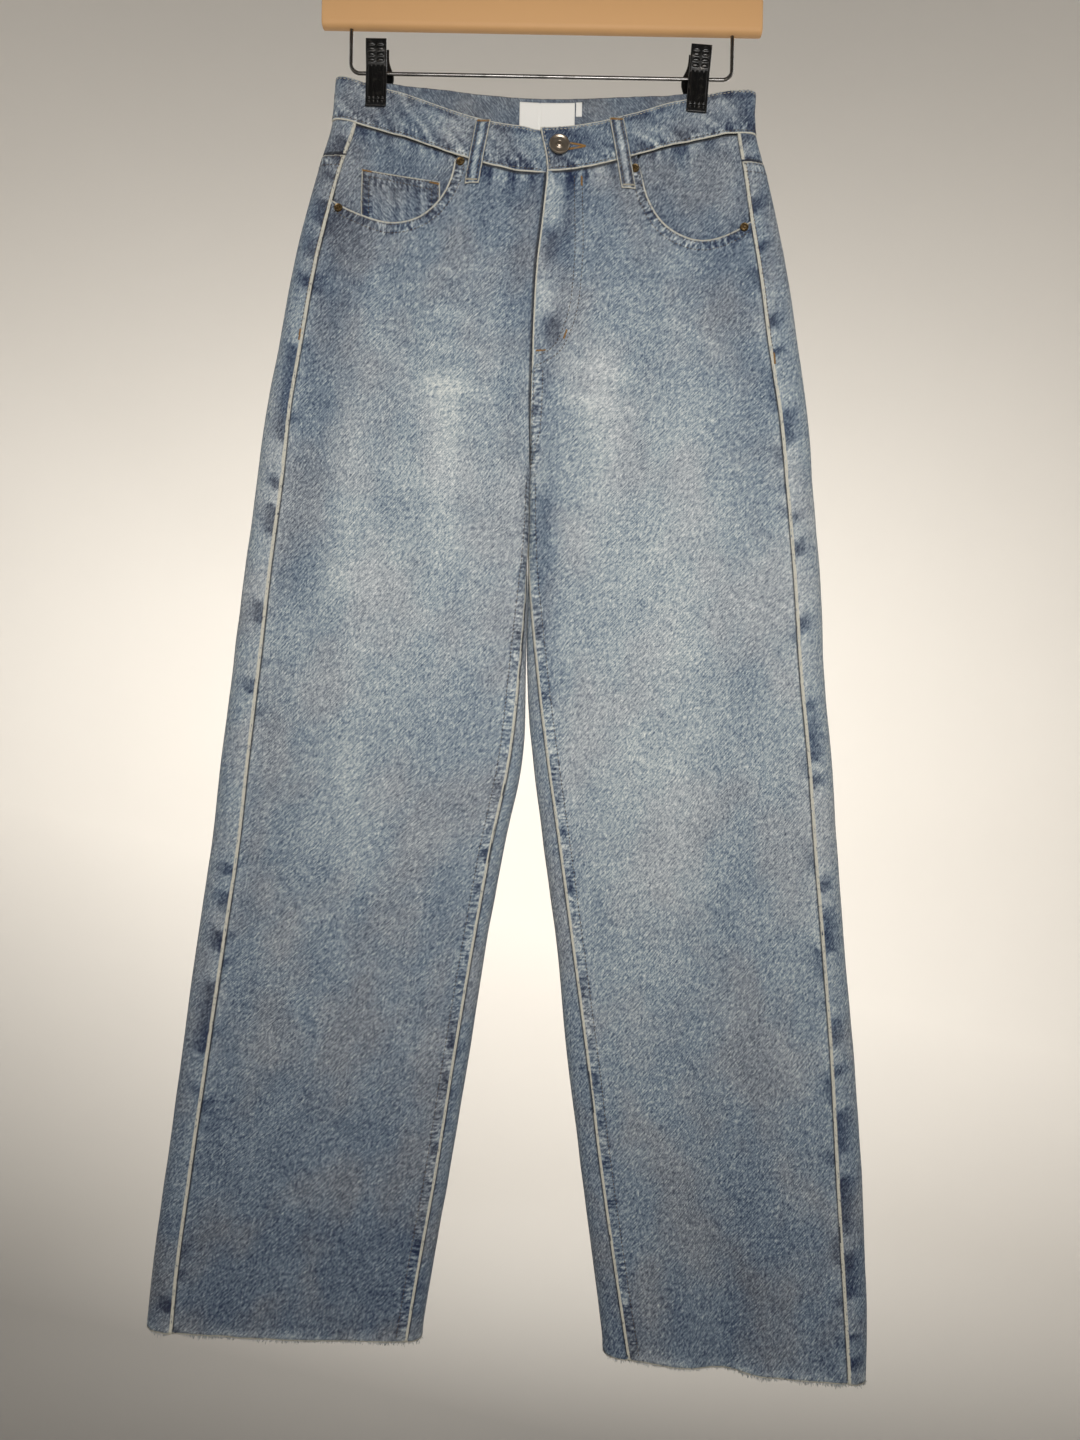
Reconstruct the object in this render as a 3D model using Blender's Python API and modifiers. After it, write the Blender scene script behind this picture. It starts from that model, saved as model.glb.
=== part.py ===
"""Wide leg jeans, clipped by the waistband to a wooden trouser hanger.

The origin is the inside of the hook's crown, where a rod carries the hanger. +Z is up, +X is the wearer's
left and the front of the jeans faces -Y. Tables and sizes are in millimetres, and MM turns them into metres.

Every cloth piece is laid on one surface, the outer face of the hanging garment. At each height the garment
is one flattened tube above the fork and two below it. FLAT gives the tubes' edges and seams as seen from the
front, DEEP how far the cloth stands forward and back, and FOLDS the largest folds. A piece is a slab whose
outer and inner faces both follow that surface.
"""

import math

import bmesh
import bpy
import numpy as np
from mathutils import Matrix, Vector
from mathutils.bvhtree import BVHTree

MM = 0.001

# Cloth
WALL = 1.3
SEAM_GAP = 0.3
LAYER_GAP = 0.4
BAND_HEIGHT = 37.0
BAND_WALL = 3.0
BAND_PROUD = 0.6

# Heights below the hook
BAND_CORNER_RIGHT = -149.0
BAND_CORNER_LEFT = -155.0
FRONT_DIP = 45.0
BACK_DIP = 2.0
FORK = -481.0
FORK_HEIGHT = 81.0
FORK_SPREAD, FORK_SPREAD_REACH = 2.0, 25.0
SWELL_HEIGHT = 1.8 * FORK_HEIGHT
HEM_RIGHT = (-1198.0, -1203.0)
HEM_LEFT = (-1222.0, -1212.0)

# Across the waist
STRIP_SHARE = 0.12
WAIST_MIDDLE = -3.0
WAIST_HALF = 175.0
SEAT_MIDDLE = 1.0

SIDES = {"right": -1, "left": 1}

# The garment seen from the front: the legs' outer and inner edges (above the fork the inner edge is the
# centre seam), how far the outseam lies in from the outer edge, and the inseam from the inner edge.
FLAT_COLUMNS = (
    "height",
    "right_outer", "left_outer", "right_inner", "left_inner",
    "right_outseam", "left_outseam", "right_inseam", "left_inseam",
)
FLAT = (
    (-140, -171.0, 180.0, 0.0, 0.0, 20.0, 15.0, 0.0, 0.0),
    (-190, -175.0, 181.0, -1.0, -1.0, 20.0, 15.5, 0.0, 0.0),
    (-232, -187.5, 193.0, 6.0, 6.0, 20.0, 20.5, 0.0, 0.0),
    (-260, -194.5, 199.5, 4.0, 4.0, 20.5, 23.0, 0.0, 0.0),
    (-310, -205.5, 210.0, -1.0, -1.0, 21.0, 25.0, 0.0, 0.0),
    (-370, -215.0, 220.5, -3.0, -3.0, 21.0, 27.0, 0.0, 0.0),
    (-430, -225.0, 229.0, -3.6, -3.6, 22.0, 25.5, 0.0, 0.0),
    (-481, -231.5, 234.0, -3.6, -3.6, 24.0, 24.5, 0.0, 0.0),
    (-560, -240.5, 241.5, -3.6, -3.6, 24.0, 24.0, 0.8, 1.5),
    (-640, -249.0, 246.5, -3.8, -3.4, 25.0, 22.5, 5.0, 9.0),
    (-720, -257.5, 255.0, -5.5, 3.0, 25.0, 22.0, 11.0, 13.5),
    (-790, -264.0, 260.5, -18.5, 13.5, 25.0, 21.5, 11.5, 14.0),
    (-860, -273.0, 267.0, -30.5, 24.0, 25.0, 21.0, 11.0, 14.0),
    (-960, -285.0, 277.0, -44.0, 36.0, 24.0, 22.0, 12.5, 17.0),
    (-1060, -297.0, 284.5, -58.5, 50.0, 23.5, 23.5, 12.0, 17.0),
    (-1150, -307.5, 287.5, -73.0, 63.0, 23.5, 21.0, 12.0, 18.5),
    (-1235, -314.5, 287.0, -85.5, 75.0, 25.0, 15.5, 12.0, 21.0),
)

# How deep the tube is, forward and back of its middle: at the middle of the waist or leg, and at its sides;
# how wide the waist's bulge reaches, over what width the cloth turns at an outer and an inner edge, and how
# far each edge stands back (+) or forward (-).
DEEP_COLUMNS = (
    "height", "front", "back", "side", "reach", "outer_turn", "right_turn", "left_turn",
    "left_outer_set", "right_inner_set", "left_inner_set",
)
DEEP = (
    (-140, 17.5, 14.0, 5.4, 126, 6, 9, 9, 0, 0, 0),
    (-190, 19.0, 15.0, 5.8, 132, 7, 9, 9, 0, 0, 0),
    (-232, 20.0, 17.0, 7.5, 150, 9, 9, 12, 0, 0, 0),
    (-260, 19.0, 18.0, 9.0, 170, 11, 9, 16, 0, 0, 0),
    (-310, 17.5, 20.0, 11.0, 196, 13, 9, 22, 0, 0, 0),
    (-370, 16.5, 20.0, 12.0, 214, 14, 9, 26, 0, 0, 0),
    (-481, 16.0, 17.0, 12.5, 230, 15, 9, 26, 0, -1, 3),
    (-560, 16.5, 16.5, 12.5, 240, 15, 9, 26, 0, -2, 5),
    (-640, 17.0, 16.5, 12.5, 240, 15, 10, 24, 0, -2, 5),
    (-720, 17.0, 16.0, 12.0, 240, 15, 11, 18, 0, -2, 4),
    (-790, 16.0, 16.0, 12.0, 240, 15, 12, 15, 0, -1, 2),
    (-960, 15.0, 15.5, 11.5, 240, 15, 12, 14, -2, 0, 0),
    (-1060, 14.5, 15.5, 11.5, 240, 15, 13, 14, -6, 0, 0),
    (-1150, 14.5, 15.5, 11.5, 240, 15, 13, 14, -12, 0, 0),
    (-1235, 15.0, 16.0, 11.5, 240, 15, 13, 14, -18, 0, 0),
)

# The largest folds, each a soft ridge (+) or trough (-) along a line across the cloth.
FOLD_COLUMNS = ("face", "x_start", "z_start", "x_end", "z_end", "width", "start", "end")
FOLDS = (
    ("front", -17, -240, -16, -470, 11, -3.0, -3.5),  # beside the fly
    ("front", -130, -290, -82, -440, 16, -4.0, -3.0),  # from under the coin pocket
    ("front", -76, -420, -82, -640, 26, 2.5, 1.5),  # right thigh, inner
    ("front", -152, -430, -152, -640, 22, 2.0, 1.5),  # right thigh, outer
    ("front", 70, -260, 72, -500, 18, 1.5, 2.0),  # left thigh, inner ridge
    ("front", 98, -255, 100, -500, 15, -3.0, -2.0),  # left thigh, under the pocket
    ("front", 150, -680, 170, -1222, 19, -1.0, -7.5),  # left shin, down to the hem
    ("front", 112, -860, 128, -1222, 20, 1.0, 2.5),  # left shin, the ridge inside it
    ("front", -10, -468, -100, -398, 10, -2.0, -0.8),  # from the fork, right
    ("front", 6, -468, 98, -404, 10, -2.0, -0.8),  # from the fork, left
    ("front", -215, -700, -240, -1000, 24, -1.5, -2.0),  # right shin, outer
    ("back", -16, -468, -120, -372, 14, -3.0, -1.0),  # seat, right
    ("back", 10, -468, 122, -376, 14, -3.0, -1.0),  # seat, left
    ("back", -36, -524, -190, -500, 18, -4.0, -1.5),  # under the seat, right
    ("back", 34, -528, 188, -506, 18, -4.0, -1.5),  # under the seat, left
    ("back", -140, -560, -196, -1160, 26, 2.0, 3.5),  # back of the right leg
    ("back", 138, -560, 176, -1200, 26, -2.0, -4.5),  # back of the left leg
    ("back", 80, -620, 112, -1200, 22, 1.0, 2.5),
)

# Scooped pocket mouths: where the scoop leaves the waist seam, its lowest point, and its end on the outseam.
SCOOPS = {
    "right": {"start": -70.0, "low_x": -118.0, "low_z": -274.0, "end_z": -255.0},
    "left": {"start": 83.0, "low_x": 136.0, "low_z": -284.0, "end_z": -266.0},
}
SCOOP_RISE = 1.7
# A facing lies behind the mouth, close under the waistband and lower down with room for the coin pocket.
FACING_MARGIN, FACING_WALL, FACING_SIDE_GAP = 13.0, 1.0, 1.0
FACING_INNER_MARGIN = 0.9 * FACING_MARGIN
FACING_SINK_TOP, FACING_SINK_LOW = WALL + 0.4, WALL + 1.8
FACING_SINKS_FROM, FACING_SINKS_OVER = -196.0, 18.0

COIN_LEFT, COIN_RIGHT = -148.0, -82.0
COIN_TOP_LEFT, COIN_TOP_RIGHT = -228.0, -241.0
COIN_MARGIN, COIN_WALL = 8.0, 0.8

FLY_FOOT = -392.0
FLY_WIDTH = 40.0
FLY_STEP = 1.6
FLY_STEP_REACH = 14.0
FLY_STEP_HEIGHT = 30.0
FLY_UNDER = 9.0

YOKE_SIDE, YOKE_CENTRE = -216.0, -262.0
POCKET_TOP_INNER = (22.0, -284.0)
POCKET_TOP_OUTER = (152.0, -266.0)
POCKET_SIDE_HEIGHT = 122.0
POCKET_POINT = 24.0
POCKET_TAPER = 7.0

LABEL_WIDTH, LABEL_HEIGHT, LABEL_X, LABEL_DROP = 47.0, 33.0, 5.5, 5.0
LABEL_WALL, LABEL_BULGE = 0.7, 0.4
TAG_WIDTH, TAG_HEIGHT, TAG_WALL, TAG_GAP = 5.0, 12.0, 1.2, 1.0
TAG_STAND = 0.6

LOOP_WIDTH, LOOP_WALL, LOOP_ARCH = 12.0, 1.5, 2.2
LOOP_DROP, LOOP_GAP = 1.5, 1.5 * LAYER_GAP
# Belt loops: where the top and the bottom end lie.
BELT_LOOPS = {
    "belt_loop_front_right": ("front", -46.5, -55.5, -244.0),
    "belt_loop_front_left": ("front", 63.0, 74.0, -245.0),
    "belt_loop_back_right": ("back", -98.0, -99.0, -208.0),
    "belt_loop_back_left": ("back", 100.0, 101.0, -210.0),
    "belt_loop_back_centre": ("back", 1.0, 1.0, -208.0),
}

BUTTON_AT = (16.0, -213.5)
RIVETS = {
    "rivet_right_inner": (-65.0, -225.0),
    "rivet_right_outer": (-166.5, -262.0),
    "rivet_left_inner": (79.0, -226.5),
    "rivet_left_outer": (171.0, -272.0),
}

# Hanger
BAR_LENGTH, BAR_HEIGHT, BAR_DEPTH, BAR_TOP, BAR_ROUNDING = 369.0, 28.0, 12.0, -79.0, 2.5
HOOK_WIRE, HOOK_INNER = 3.8, 20.0
# The hook's crook runs from HOOK_TIP round to HOOK_LEAVES, in degrees from +X, and its neck bends down to the
# stem: how straight it leaves the crook and reaches the stem, and the stem's height.
HOOK_TIP, HOOK_LEAVES = 205.0, -38.0
NECK_LEAVES, NECK_REACHES, STEM = 18.0, 10.0, 14.0
RAIL_WIRE, RAIL_HALF, RAIL_HEIGHT, RAIL_BEND = 3.2, 160.0, -144.0, 8.0
CLIP_WIDTH, CLIP_SHEET = 17.5, 1.2
# The back jaw's thumb wing: how wide, at what height along the clip, and how tall.
CLIP_WING, WING_HEIGHT, WING_REACH = 5.0, -2.0, 11.0
CLIP_BARREL, BARREL_HALF, BARREL_GAP = 5.4, 6.0, 0.45
# A clip's side profile: height along the clip from the rail, and how far the jaw's inner face stands off.
CLIP_PROFILE = ((25, 7.6), (17, 6.9), (9, 5.2), (3, 3.6), (-4, 4.1), (-12, 4.2), (-20, 4.2), (-27, 4.4), (-30.5, 6.0))
CLIPS = {"right": {"x": -138.0, "lean": 0.0}, "left": {"x": 132.0, "lean": 3.6}}
PINCH_WIDTH, PINCH_DEPTH, PINCH_FOOT = 19.0, 2.7, -232.0

DENIM = ("denim", (0.36, 0.46, 0.58), 0.9, 0.0)
DENIM_INSIDE = ("denim_layer", (0.33, 0.42, 0.53), 0.9, 0.0)
SATIN = ("label_satin", (0.88, 0.87, 0.84), 0.45, 0.0)
BRONZE = ("antique_bronze", (0.30, 0.25, 0.20), 0.4, 1.0)
WOOD = ("hanger_wood", (0.66, 0.38, 0.17), 0.45, 0.0)
WIRE = ("hanger_wire", (0.62, 0.62, 0.63), 0.22, 1.0)
CLIP_METAL = ("clip_metal", (0.28, 0.28, 0.29), 0.3, 1.0)


# ---------------------------------------------------------------- surface


def smooth(table, columns, name, height):
    """The named column of a table at these heights, on a smooth curve through its rows."""
    column = columns.index(name)
    heights = np.array([row[0] for row in table], float)[::-1]
    values = np.array([row[column] for row in table], float)[::-1]
    slopes = np.gradient(values, heights)
    height = np.asarray(height, float)
    row = np.clip(np.searchsorted(heights, height) - 1, 0, len(heights) - 2)
    step = heights[row + 1] - heights[row]
    t = np.clip((height - heights[row]) / step, 0, 1)
    start, end = values[row], values[row + 1]
    return (
        start * (1 + 2 * t) * (1 - t) ** 2
        + end * t * t * (3 - 2 * t)
        + step * t * (1 - t) * (slopes[row] * (1 - t) - slopes[row + 1] * t)
    )


def flat(name, height):
    return smooth(FLAT, FLAT_COLUMNS, name, height)


def deep(name, height):
    return smooth(DEEP, DEEP_COLUMNS, name, height)


def ease(t):
    t = np.clip(t, 0, 1)
    return t * t * (3 - 2 * t)


def turn(t):
    """The quarter round by which cloth comes back to an edge: 0 on the edge, 1 from t = 1 on."""
    return np.sqrt(1 - (1 - np.clip(t, 0, 1)) ** 2)


def inner_edge(side, height):
    """A leg's inner edge, or above the fork the centre seam, on this side of the seam's gap."""
    return flat(side + "_inner", height) + SIDES[side] * SEAM_GAP / 2


def folds(face, x, z):
    """How far the folds lift the cloth outwards here."""
    lift = 0.0
    for row in FOLDS:
        fold = dict(zip(FOLD_COLUMNS, row))
        if fold["face"] != face:
            continue
        run = np.array((fold["x_end"] - fold["x_start"], fold["z_end"] - fold["z_start"]), float)
        along = (x - fold["x_start"]) * run[0] + (z - fold["z_start"]) * run[1]
        t = np.clip(along / (run @ run), 0, 1)
        away = np.hypot(x - fold["x_start"] - t * run[0], z - fold["z_start"] - t * run[1])
        lift = lift + (fold["start"] * (1 - t) + fold["end"] * t) * np.exp(-((away / fold["width"]) ** 2))
    return lift


def cloth_y(side, face, x, z):
    """Where the garment's outer face stands at x and z, on one side's front or back."""
    outer, inner = flat(side + "_outer", z), inner_edge(side, z)
    joined = np.sin(np.pi / 2 * np.clip((z - FORK) / FORK_HEIGHT, 0, 1))
    at_outer = turn(np.abs(x - outer) / deep("outer_turn", z))
    at_inner = turn(np.abs(inner - x) / deep(side + "_turn", z))
    at_inner = 1 - (1 - at_inner) * (1 - joined)
    waist = np.cos(np.pi / 2 * np.clip(np.abs(x - WAIST_MIDDLE) / deep("reach", z), 0, 1)) ** 2
    leg = np.sin(np.pi * np.clip((x - inner) / (outer - inner), 0, 1)) ** 2
    whole = ease((z - FORK) / SWELL_HEIGHT)
    swell = leg + (waist - leg) * whole
    depth = deep("side", z) + (deep(face, z) - deep("side", z)) * swell
    held = ease((z - PINCH_FOOT) / (BAND_CORNER_RIGHT - BAND_HEIGHT - PINCH_FOOT))
    for clip in CLIPS.values():
        near = np.exp(-(((x - clip["x"]) / PINCH_WIDTH) ** 4))
        depth = depth + (PINCH_DEPTH - depth) * near * held
    depth = (depth + folds(face, x, z)) * at_outer * at_inner
    inwards = np.clip((x - outer) / (inner - outer), 0, 1)
    outer_set = deep("left_outer_set", z) if side == "left" else 0.0
    inner_set = deep(side + "_inner_set", z) * (1 - joined)
    middle = outer_set * (1 - inwards) + inner_set * inwards
    return middle + (depth if face == "back" else -depth)


TURNS = np.linspace(0, np.pi, 81)


def girth(side, z):
    """One row for each height: the section's points from the inner edge along the front to the outer edge,
    along the back, and along the front again, with the length of cloth up to each point."""
    z = np.asarray(z, float)[:, None]
    outer, inner = flat(side + "_outer", z), inner_edge(side, z)
    x = inner + (outer - inner) * (1 - np.cos(TURNS)) / 2
    front, back = cloth_y(side, "front", x, z), cloth_y(side, "back", x, z)
    xs = np.concatenate([x, x[:, -2::-1], x[:, 1:]], axis=1)
    ys = np.concatenate([front, back[:, -2::-1], front[:, 1:]], axis=1)
    steps = np.hypot(np.diff(xs, axis=1), np.diff(ys, axis=1))
    lengths = np.concatenate([np.zeros((len(z), 1)), np.cumsum(steps, axis=1)], axis=1)
    return xs, ys, lengths


def length_at(lengths, index):
    """The length of cloth up to a place in each row, given as a fraction of the section's points."""
    low = np.clip(np.floor(index).astype(int), 0, lengths.shape[1] - 2)
    rows = np.arange(len(lengths))
    part = index - low
    return lengths[rows, low] * (1 - part) + lengths[rows, low + 1] * part


def seam_lengths(side, z, lengths):
    """The length of cloth from the inner edge to the inseam, to the outseam and all the way round."""
    outer, inner = flat(side + "_outer", z), inner_edge(side, z)
    width = np.abs(outer - inner)
    last = len(TURNS) - 1
    inseam = np.arccos(1 - 2 * np.maximum(flat(side + "_inseam", z), 0) / width) / np.pi * last
    outseam = np.arccos(2 * flat(side + "_outseam", z) / width - 1) / np.pi * last
    inseam = np.where(np.asarray(z) > FORK, 0.0, inseam)
    return length_at(lengths, inseam), length_at(lengths, outseam), lengths[:, 2 * last]


def along(side, z, length, sink):
    """Points at this length of cloth round the section, sunk this far into the cloth."""
    xs, ys, lengths = girth(side, z)
    rows = np.arange(len(xs))
    after = np.clip((lengths < length[:, None]).sum(axis=1), 1, lengths.shape[1] - 1)
    before = after - 1
    span = lengths[rows, after] - lengths[rows, before]
    part = (length - lengths[rows, before]) / span
    x = xs[rows, before] * (1 - part) + xs[rows, after] * part
    y = ys[rows, before] * (1 - part) + ys[rows, after] * part
    near, far = np.maximum(before - 1, 0), np.minimum(after + 1, lengths.shape[1] - 1)
    run = np.stack([xs[rows, far] - xs[rows, near], ys[rows, far] - ys[rows, near]], axis=1)
    run /= np.hypot(run[:, 0], run[:, 1])[:, None]
    # The section runs outwards along the front, so the cloth's inside is on the left of it on the wearer's
    # right, and on the right of it on the wearer's left.
    inwards = np.stack([-run[:, 1], run[:, 0]], axis=1) * SIDES[side]
    return np.stack([x + inwards[:, 0] * sink, y + inwards[:, 1] * sink, z], axis=1)


def panel_point(side, face, share, z, sink):
    """A point of the front or back panel, at a share of its width: from the inner seam to the outseam on the
    front, and from the outseam round to the inner seam on the back, with the outer edge at STRIP_SHARE."""
    _, _, lengths = girth(side, z)
    inseam, outseam, whole = seam_lengths(side, z, lengths)
    # At the fork all four panels meet, and their corners stand a little further apart.
    half_gap = SEAM_GAP / 2 * (1 + FORK_SPREAD * np.exp(-(((z - FORK) / FORK_SPREAD_REACH) ** 2)))
    if face == "front":
        length = inseam + half_gap + share * (outseam - inseam - 2 * half_gap)
    else:
        start, tip, end = outseam + half_gap, lengths[:, len(TURNS) - 1], whole + inseam - half_gap
        strip = np.clip(share / STRIP_SHARE, 0, 1)
        rest = np.clip((share - STRIP_SHARE) / (1 - STRIP_SHARE), 0, 1)
        length = start + strip * (tip - start) + rest * (end - tip)
    return along(side, z, length, sink)


def band_top(face, x):
    """The waistband's top edge: the front dips between the clips, and the back runs nearly straight."""
    across = (x - WAIST_MIDDLE) / WAIST_HALF
    corner = (BAND_CORNER_RIGHT + BAND_CORNER_LEFT) / 2 + (BAND_CORNER_LEFT - BAND_CORNER_RIGHT) / 2 * across
    dip = FRONT_DIP if face == "front" else BACK_DIP
    return corner - dip * np.cos(np.pi / 2 * np.clip(across, -1, 1)) ** 2


def waist_seam(face, x):
    return band_top(face, x) - BAND_HEIGHT


def scoop(side, x, margin=0.0):
    """The edge of the pocket mouth: a quarter ellipse from the waist seam, then a slow rise to the outseam.
    With a margin it is a line that far outside the mouth."""
    mouth = SCOOPS[side]
    start, low, low_z = abs(mouth["start"]) - margin, abs(mouth["low_x"]), mouth["low_z"] - margin
    inner = np.clip((low - np.abs(x)) / (low - start), 0, 1)
    top = waist_seam("front", mouth["start"])
    steep = low_z + (top - low_z) * (1 - np.sqrt(1 - inner**2))
    end = abs(flat(side + "_outer", mouth["end_z"])) - flat(side + "_outseam", mouth["end_z"])
    outer = np.clip((np.abs(x) - low) / (end - low), 0, 1)
    return np.where(np.abs(x) < low, steep, low_z + (mouth["end_z"] - margin - low_z) * outer**SCOOP_RISE)


def hem(side, x):
    outer_hem, inner_hem = HEM_RIGHT if side == "right" else HEM_LEFT
    outer, inner = flat(side + "_outer", inner_hem), flat(side + "_inner", inner_hem)
    return outer_hem + (inner_hem - outer_hem) * np.clip((x - outer) / (inner - outer), 0, 1)


def yoke_seam(side, x, y):
    """The yoke seam: level on the strip that shows from the front, then down to the centre back."""
    half = np.abs(flat(side + "_outer", YOKE_SIDE)) - SEAT_MIDDLE
    across = np.clip(np.abs(x - SEAT_MIDDLE) / half, 0, 1)
    return YOKE_SIDE + (YOKE_CENTRE - YOKE_SIDE) * (1 - across) * (y > 0)


# How often a height is corrected before a column of cloth is taken to meet its edge, and where that starts.
ROUNDS = 14
START_HEIGHT = -230.0


def meet(side, face, share, line, height=START_HEIGHT):
    """The heights at which columns of a panel meet a line that is given by x and y."""
    columns, which = np.unique(share, return_inverse=True)
    z = np.full(len(columns), float(height))
    for _ in range(ROUNDS):
        point = panel_point(side, face, columns, z, 0.0)
        z = (z + line(point[:, 0], point[:, 1])) / 2
    return z[which]


# ---------------------------------------------------------------- making pieces


def material(spec):
    name, colour, roughness, metallic = spec
    made = bpy.data.materials.get(name) or bpy.data.materials.new(name)
    made.use_nodes = True
    shader = made.node_tree.nodes["Principled BSDF"]
    shader.inputs["Base Color"].default_value = (*colour, 1.0)
    shader.inputs["Roughness"].default_value = roughness
    shader.inputs["Metallic"].default_value = metallic
    return made


def add_mesh(name, bm, spec, collection):
    bmesh.ops.recalc_face_normals(bm, faces=bm.faces)
    if bm.calc_volume(signed=True) < 0:
        bmesh.ops.reverse_faces(bm, faces=bm.faces)
    mesh = bpy.data.meshes.new(name)
    bm.to_mesh(mesh)
    bm.free()
    mesh.shade_smooth()
    mesh.set_sharp_from_angle(angle=math.radians(40))
    mesh.materials.append(material(spec))
    made = bpy.data.objects.new(name, mesh)
    collection.objects.link(made)
    return made


def slab(name, across, up, place, spec, collection):
    """A closed sheet: a grid doubled into two layers, then carried to its place by place(u, v, layer)."""
    bm = bmesh.new()
    bmesh.ops.create_grid(bm, x_segments=len(across) - 1, y_segments=len(up) - 1, size=0.5)
    lifted = bmesh.ops.extrude_face_region(bm, geom=bm.faces[:])
    doubled = [item for item in lifted["geom"] if isinstance(item, bmesh.types.BMVert)]
    bmesh.ops.translate(bm, verts=doubled, vec=(0, 0, 1))
    spots = np.array([v.co[:] for v in bm.verts])
    columns = np.rint((spots[:, 0] + 0.5) * (len(across) - 1)).astype(int)
    rows = np.rint((spots[:, 1] + 0.5) * (len(up) - 1)).astype(int)
    points = place(np.asarray(across)[columns], np.asarray(up)[rows], spots[:, 2])
    for vert, point in zip(bm.verts, points * MM):
        vert.co = point
    return add_mesh(name, bm, spec, collection)


def tube(name, points, diameter, spec, collection):
    """A wire through these points, as a curve with a round bevel."""
    curve = bpy.data.curves.new(name, "CURVE")
    curve.dimensions = "3D"
    curve.bevel_depth = diameter / 2 * MM
    curve.bevel_resolution = 2
    curve.use_fill_caps = True
    spline = curve.splines.new("POLY")
    spline.points.add(len(points) - 1)
    for target, point in zip(spline.points, points):
        target.co = (*(np.asarray(point) * MM), 1.0)
    curve.materials.append(material(spec))
    made = bpy.data.objects.new(name, curve)
    collection.objects.link(made)
    return made


def turned(name, profile, place, normal, steps, spec, collection):
    """A round piece from its profile of (radius, height), standing on the cloth along its normal."""
    bm = bmesh.new()
    corners = [bm.verts.new((radius * MM, 0.0, height * MM)) for radius, height in profile]
    for first, second in zip(corners, corners[1:]):
        bm.edges.new((first, second))
    mesh = bpy.data.meshes.new(name)
    bm.to_mesh(mesh)
    bm.free()
    mesh.materials.append(material(spec))
    made = bpy.data.objects.new(name, mesh)
    screw = made.modifiers.new("turn", "SCREW")
    screw.steps = screw.render_steps = steps
    screw.use_merge_vertices = True
    screw.merge_threshold = 0.00001
    screw.use_smooth_shade = True
    made.location = Vector(place) * MM
    made.rotation_euler = Vector(normal).to_track_quat("Z", "Y").to_euler()
    collection.objects.link(made)
    return made


# ---------------------------------------------------------------- cloth pieces

# Shares of a back panel's width at which its columns stand, closer together where it turns round an edge.
BACK_COLUMNS = (
    0, 0.04, 0.07, 0.1, STRIP_SHARE, 0.14, 0.165, 0.2, 0.27, 0.36, 0.46, 0.56, 0.66, 0.75, 0.82, 0.87, 0.91,
    0.94, 0.965, 0.985, 1,
)
YOKE_COLUMNS = (0, 0.05, 0.09, STRIP_SHARE, 0.14, 0.165, 0.2, 0.27, 0.36, 0.46, 0.56, 0.66, 0.76, 0.88, 1)
# Shares of a quarter of the waistband, from a centre to a side.
BAND_COLUMNS = np.array((0, 0.2, 0.38, 0.53, 0.65, 0.715, 0.77, 0.825, 0.88, 0.93, 0.965, 0.985, 1))

# Heights that every long panel shares, so that neighbours' edges run alike.
TOP_LEVEL, KNEE_LEVEL, HEM_LEVEL = -300.0, -720.0, -1150.0
LEVELS = np.concatenate(
    [
        np.linspace(HEM_LEVEL, KNEE_LEVEL, 11)[:-1],
        np.linspace(KNEE_LEVEL, FORK, 9)[:-1],
        np.linspace(FORK, TOP_LEVEL, 9),
    ]
)
# Columns of a front panel under the pocket mouth, as shares from its start to the outseam.
MOUTH_COLUMNS = (0.05, 0.13, 0.24, 0.38, 0.54, 0.7, 0.86, 1.0)
HEM_ROWS = np.array([0.0, 0.5])
TOP_ROWS = np.array([0.25, 0.5, 0.75, 1.0])


def panel_heights(side, face, share, row, top):
    """The height of each vertex of a long panel: shared levels, with the rows at each end fitted to the edge."""
    hem_z = meet(side, face, share, lambda x, y: hem(side, x), HEM_LEVEL)
    low, high = len(HEM_ROWS), len(HEM_ROWS) + len(LEVELS)
    level = LEVELS[np.clip(row - low, 0, len(LEVELS) - 1)]
    hem_part = HEM_ROWS[np.clip(row, 0, low - 1)]
    top_part = TOP_ROWS[np.clip(row - high, 0, len(TOP_ROWS) - 1)]
    z = np.where(row < low, hem_z + (HEM_LEVEL - hem_z) * hem_part, level)
    return np.where(row >= high, TOP_LEVEL + (top - TOP_LEVEL) * top_part, z)


def make_front(side, collection):
    mouth = SCOOPS[side]
    start_z = waist_seam("front", mouth["start"])
    shares = np.linspace(0, 1, 200)
    reach = np.abs(panel_point(side, "front", shares, np.full(len(shares), start_z), 0.0)[:, 0])
    start = np.interp(abs(mouth["start"]), reach, shares)
    # Columns stand closer together towards the corner of the pocket mouth.
    toward_fly = start * (1 - np.cos(np.linspace(0, np.pi / 2, 7))) ** 0.8
    under_mouth = start + (1 - start) * np.array(MOUTH_COLUMNS)
    across = np.concatenate([toward_fly, under_mouth])

    def place(share, row, layer):
        row = row.astype(int)
        at_seam = meet(side, "front", share, lambda x, y: waist_seam("front", x) - SEAM_GAP)
        at_mouth = meet(side, "front", share, lambda x, y: scoop(side, x))
        top = np.where(share <= start, at_seam, at_mouth)
        z = panel_heights(side, "front", share, row, top)
        point = panel_point(side, "front", share, z, layer * WALL)
        if side == "left":
            past = point[:, 0] - flat("left_inner", z)
            fly = ease((z - FLY_FOOT) / FLY_STEP_HEIGHT) * np.exp(-past / FLY_STEP_REACH)
            point[:, 1] -= FLY_STEP * fly
        return point

    rows = np.arange(len(HEM_ROWS) + len(LEVELS) + len(TOP_ROWS))
    slab("front_" + side, across, rows, place, DENIM, collection)


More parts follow.
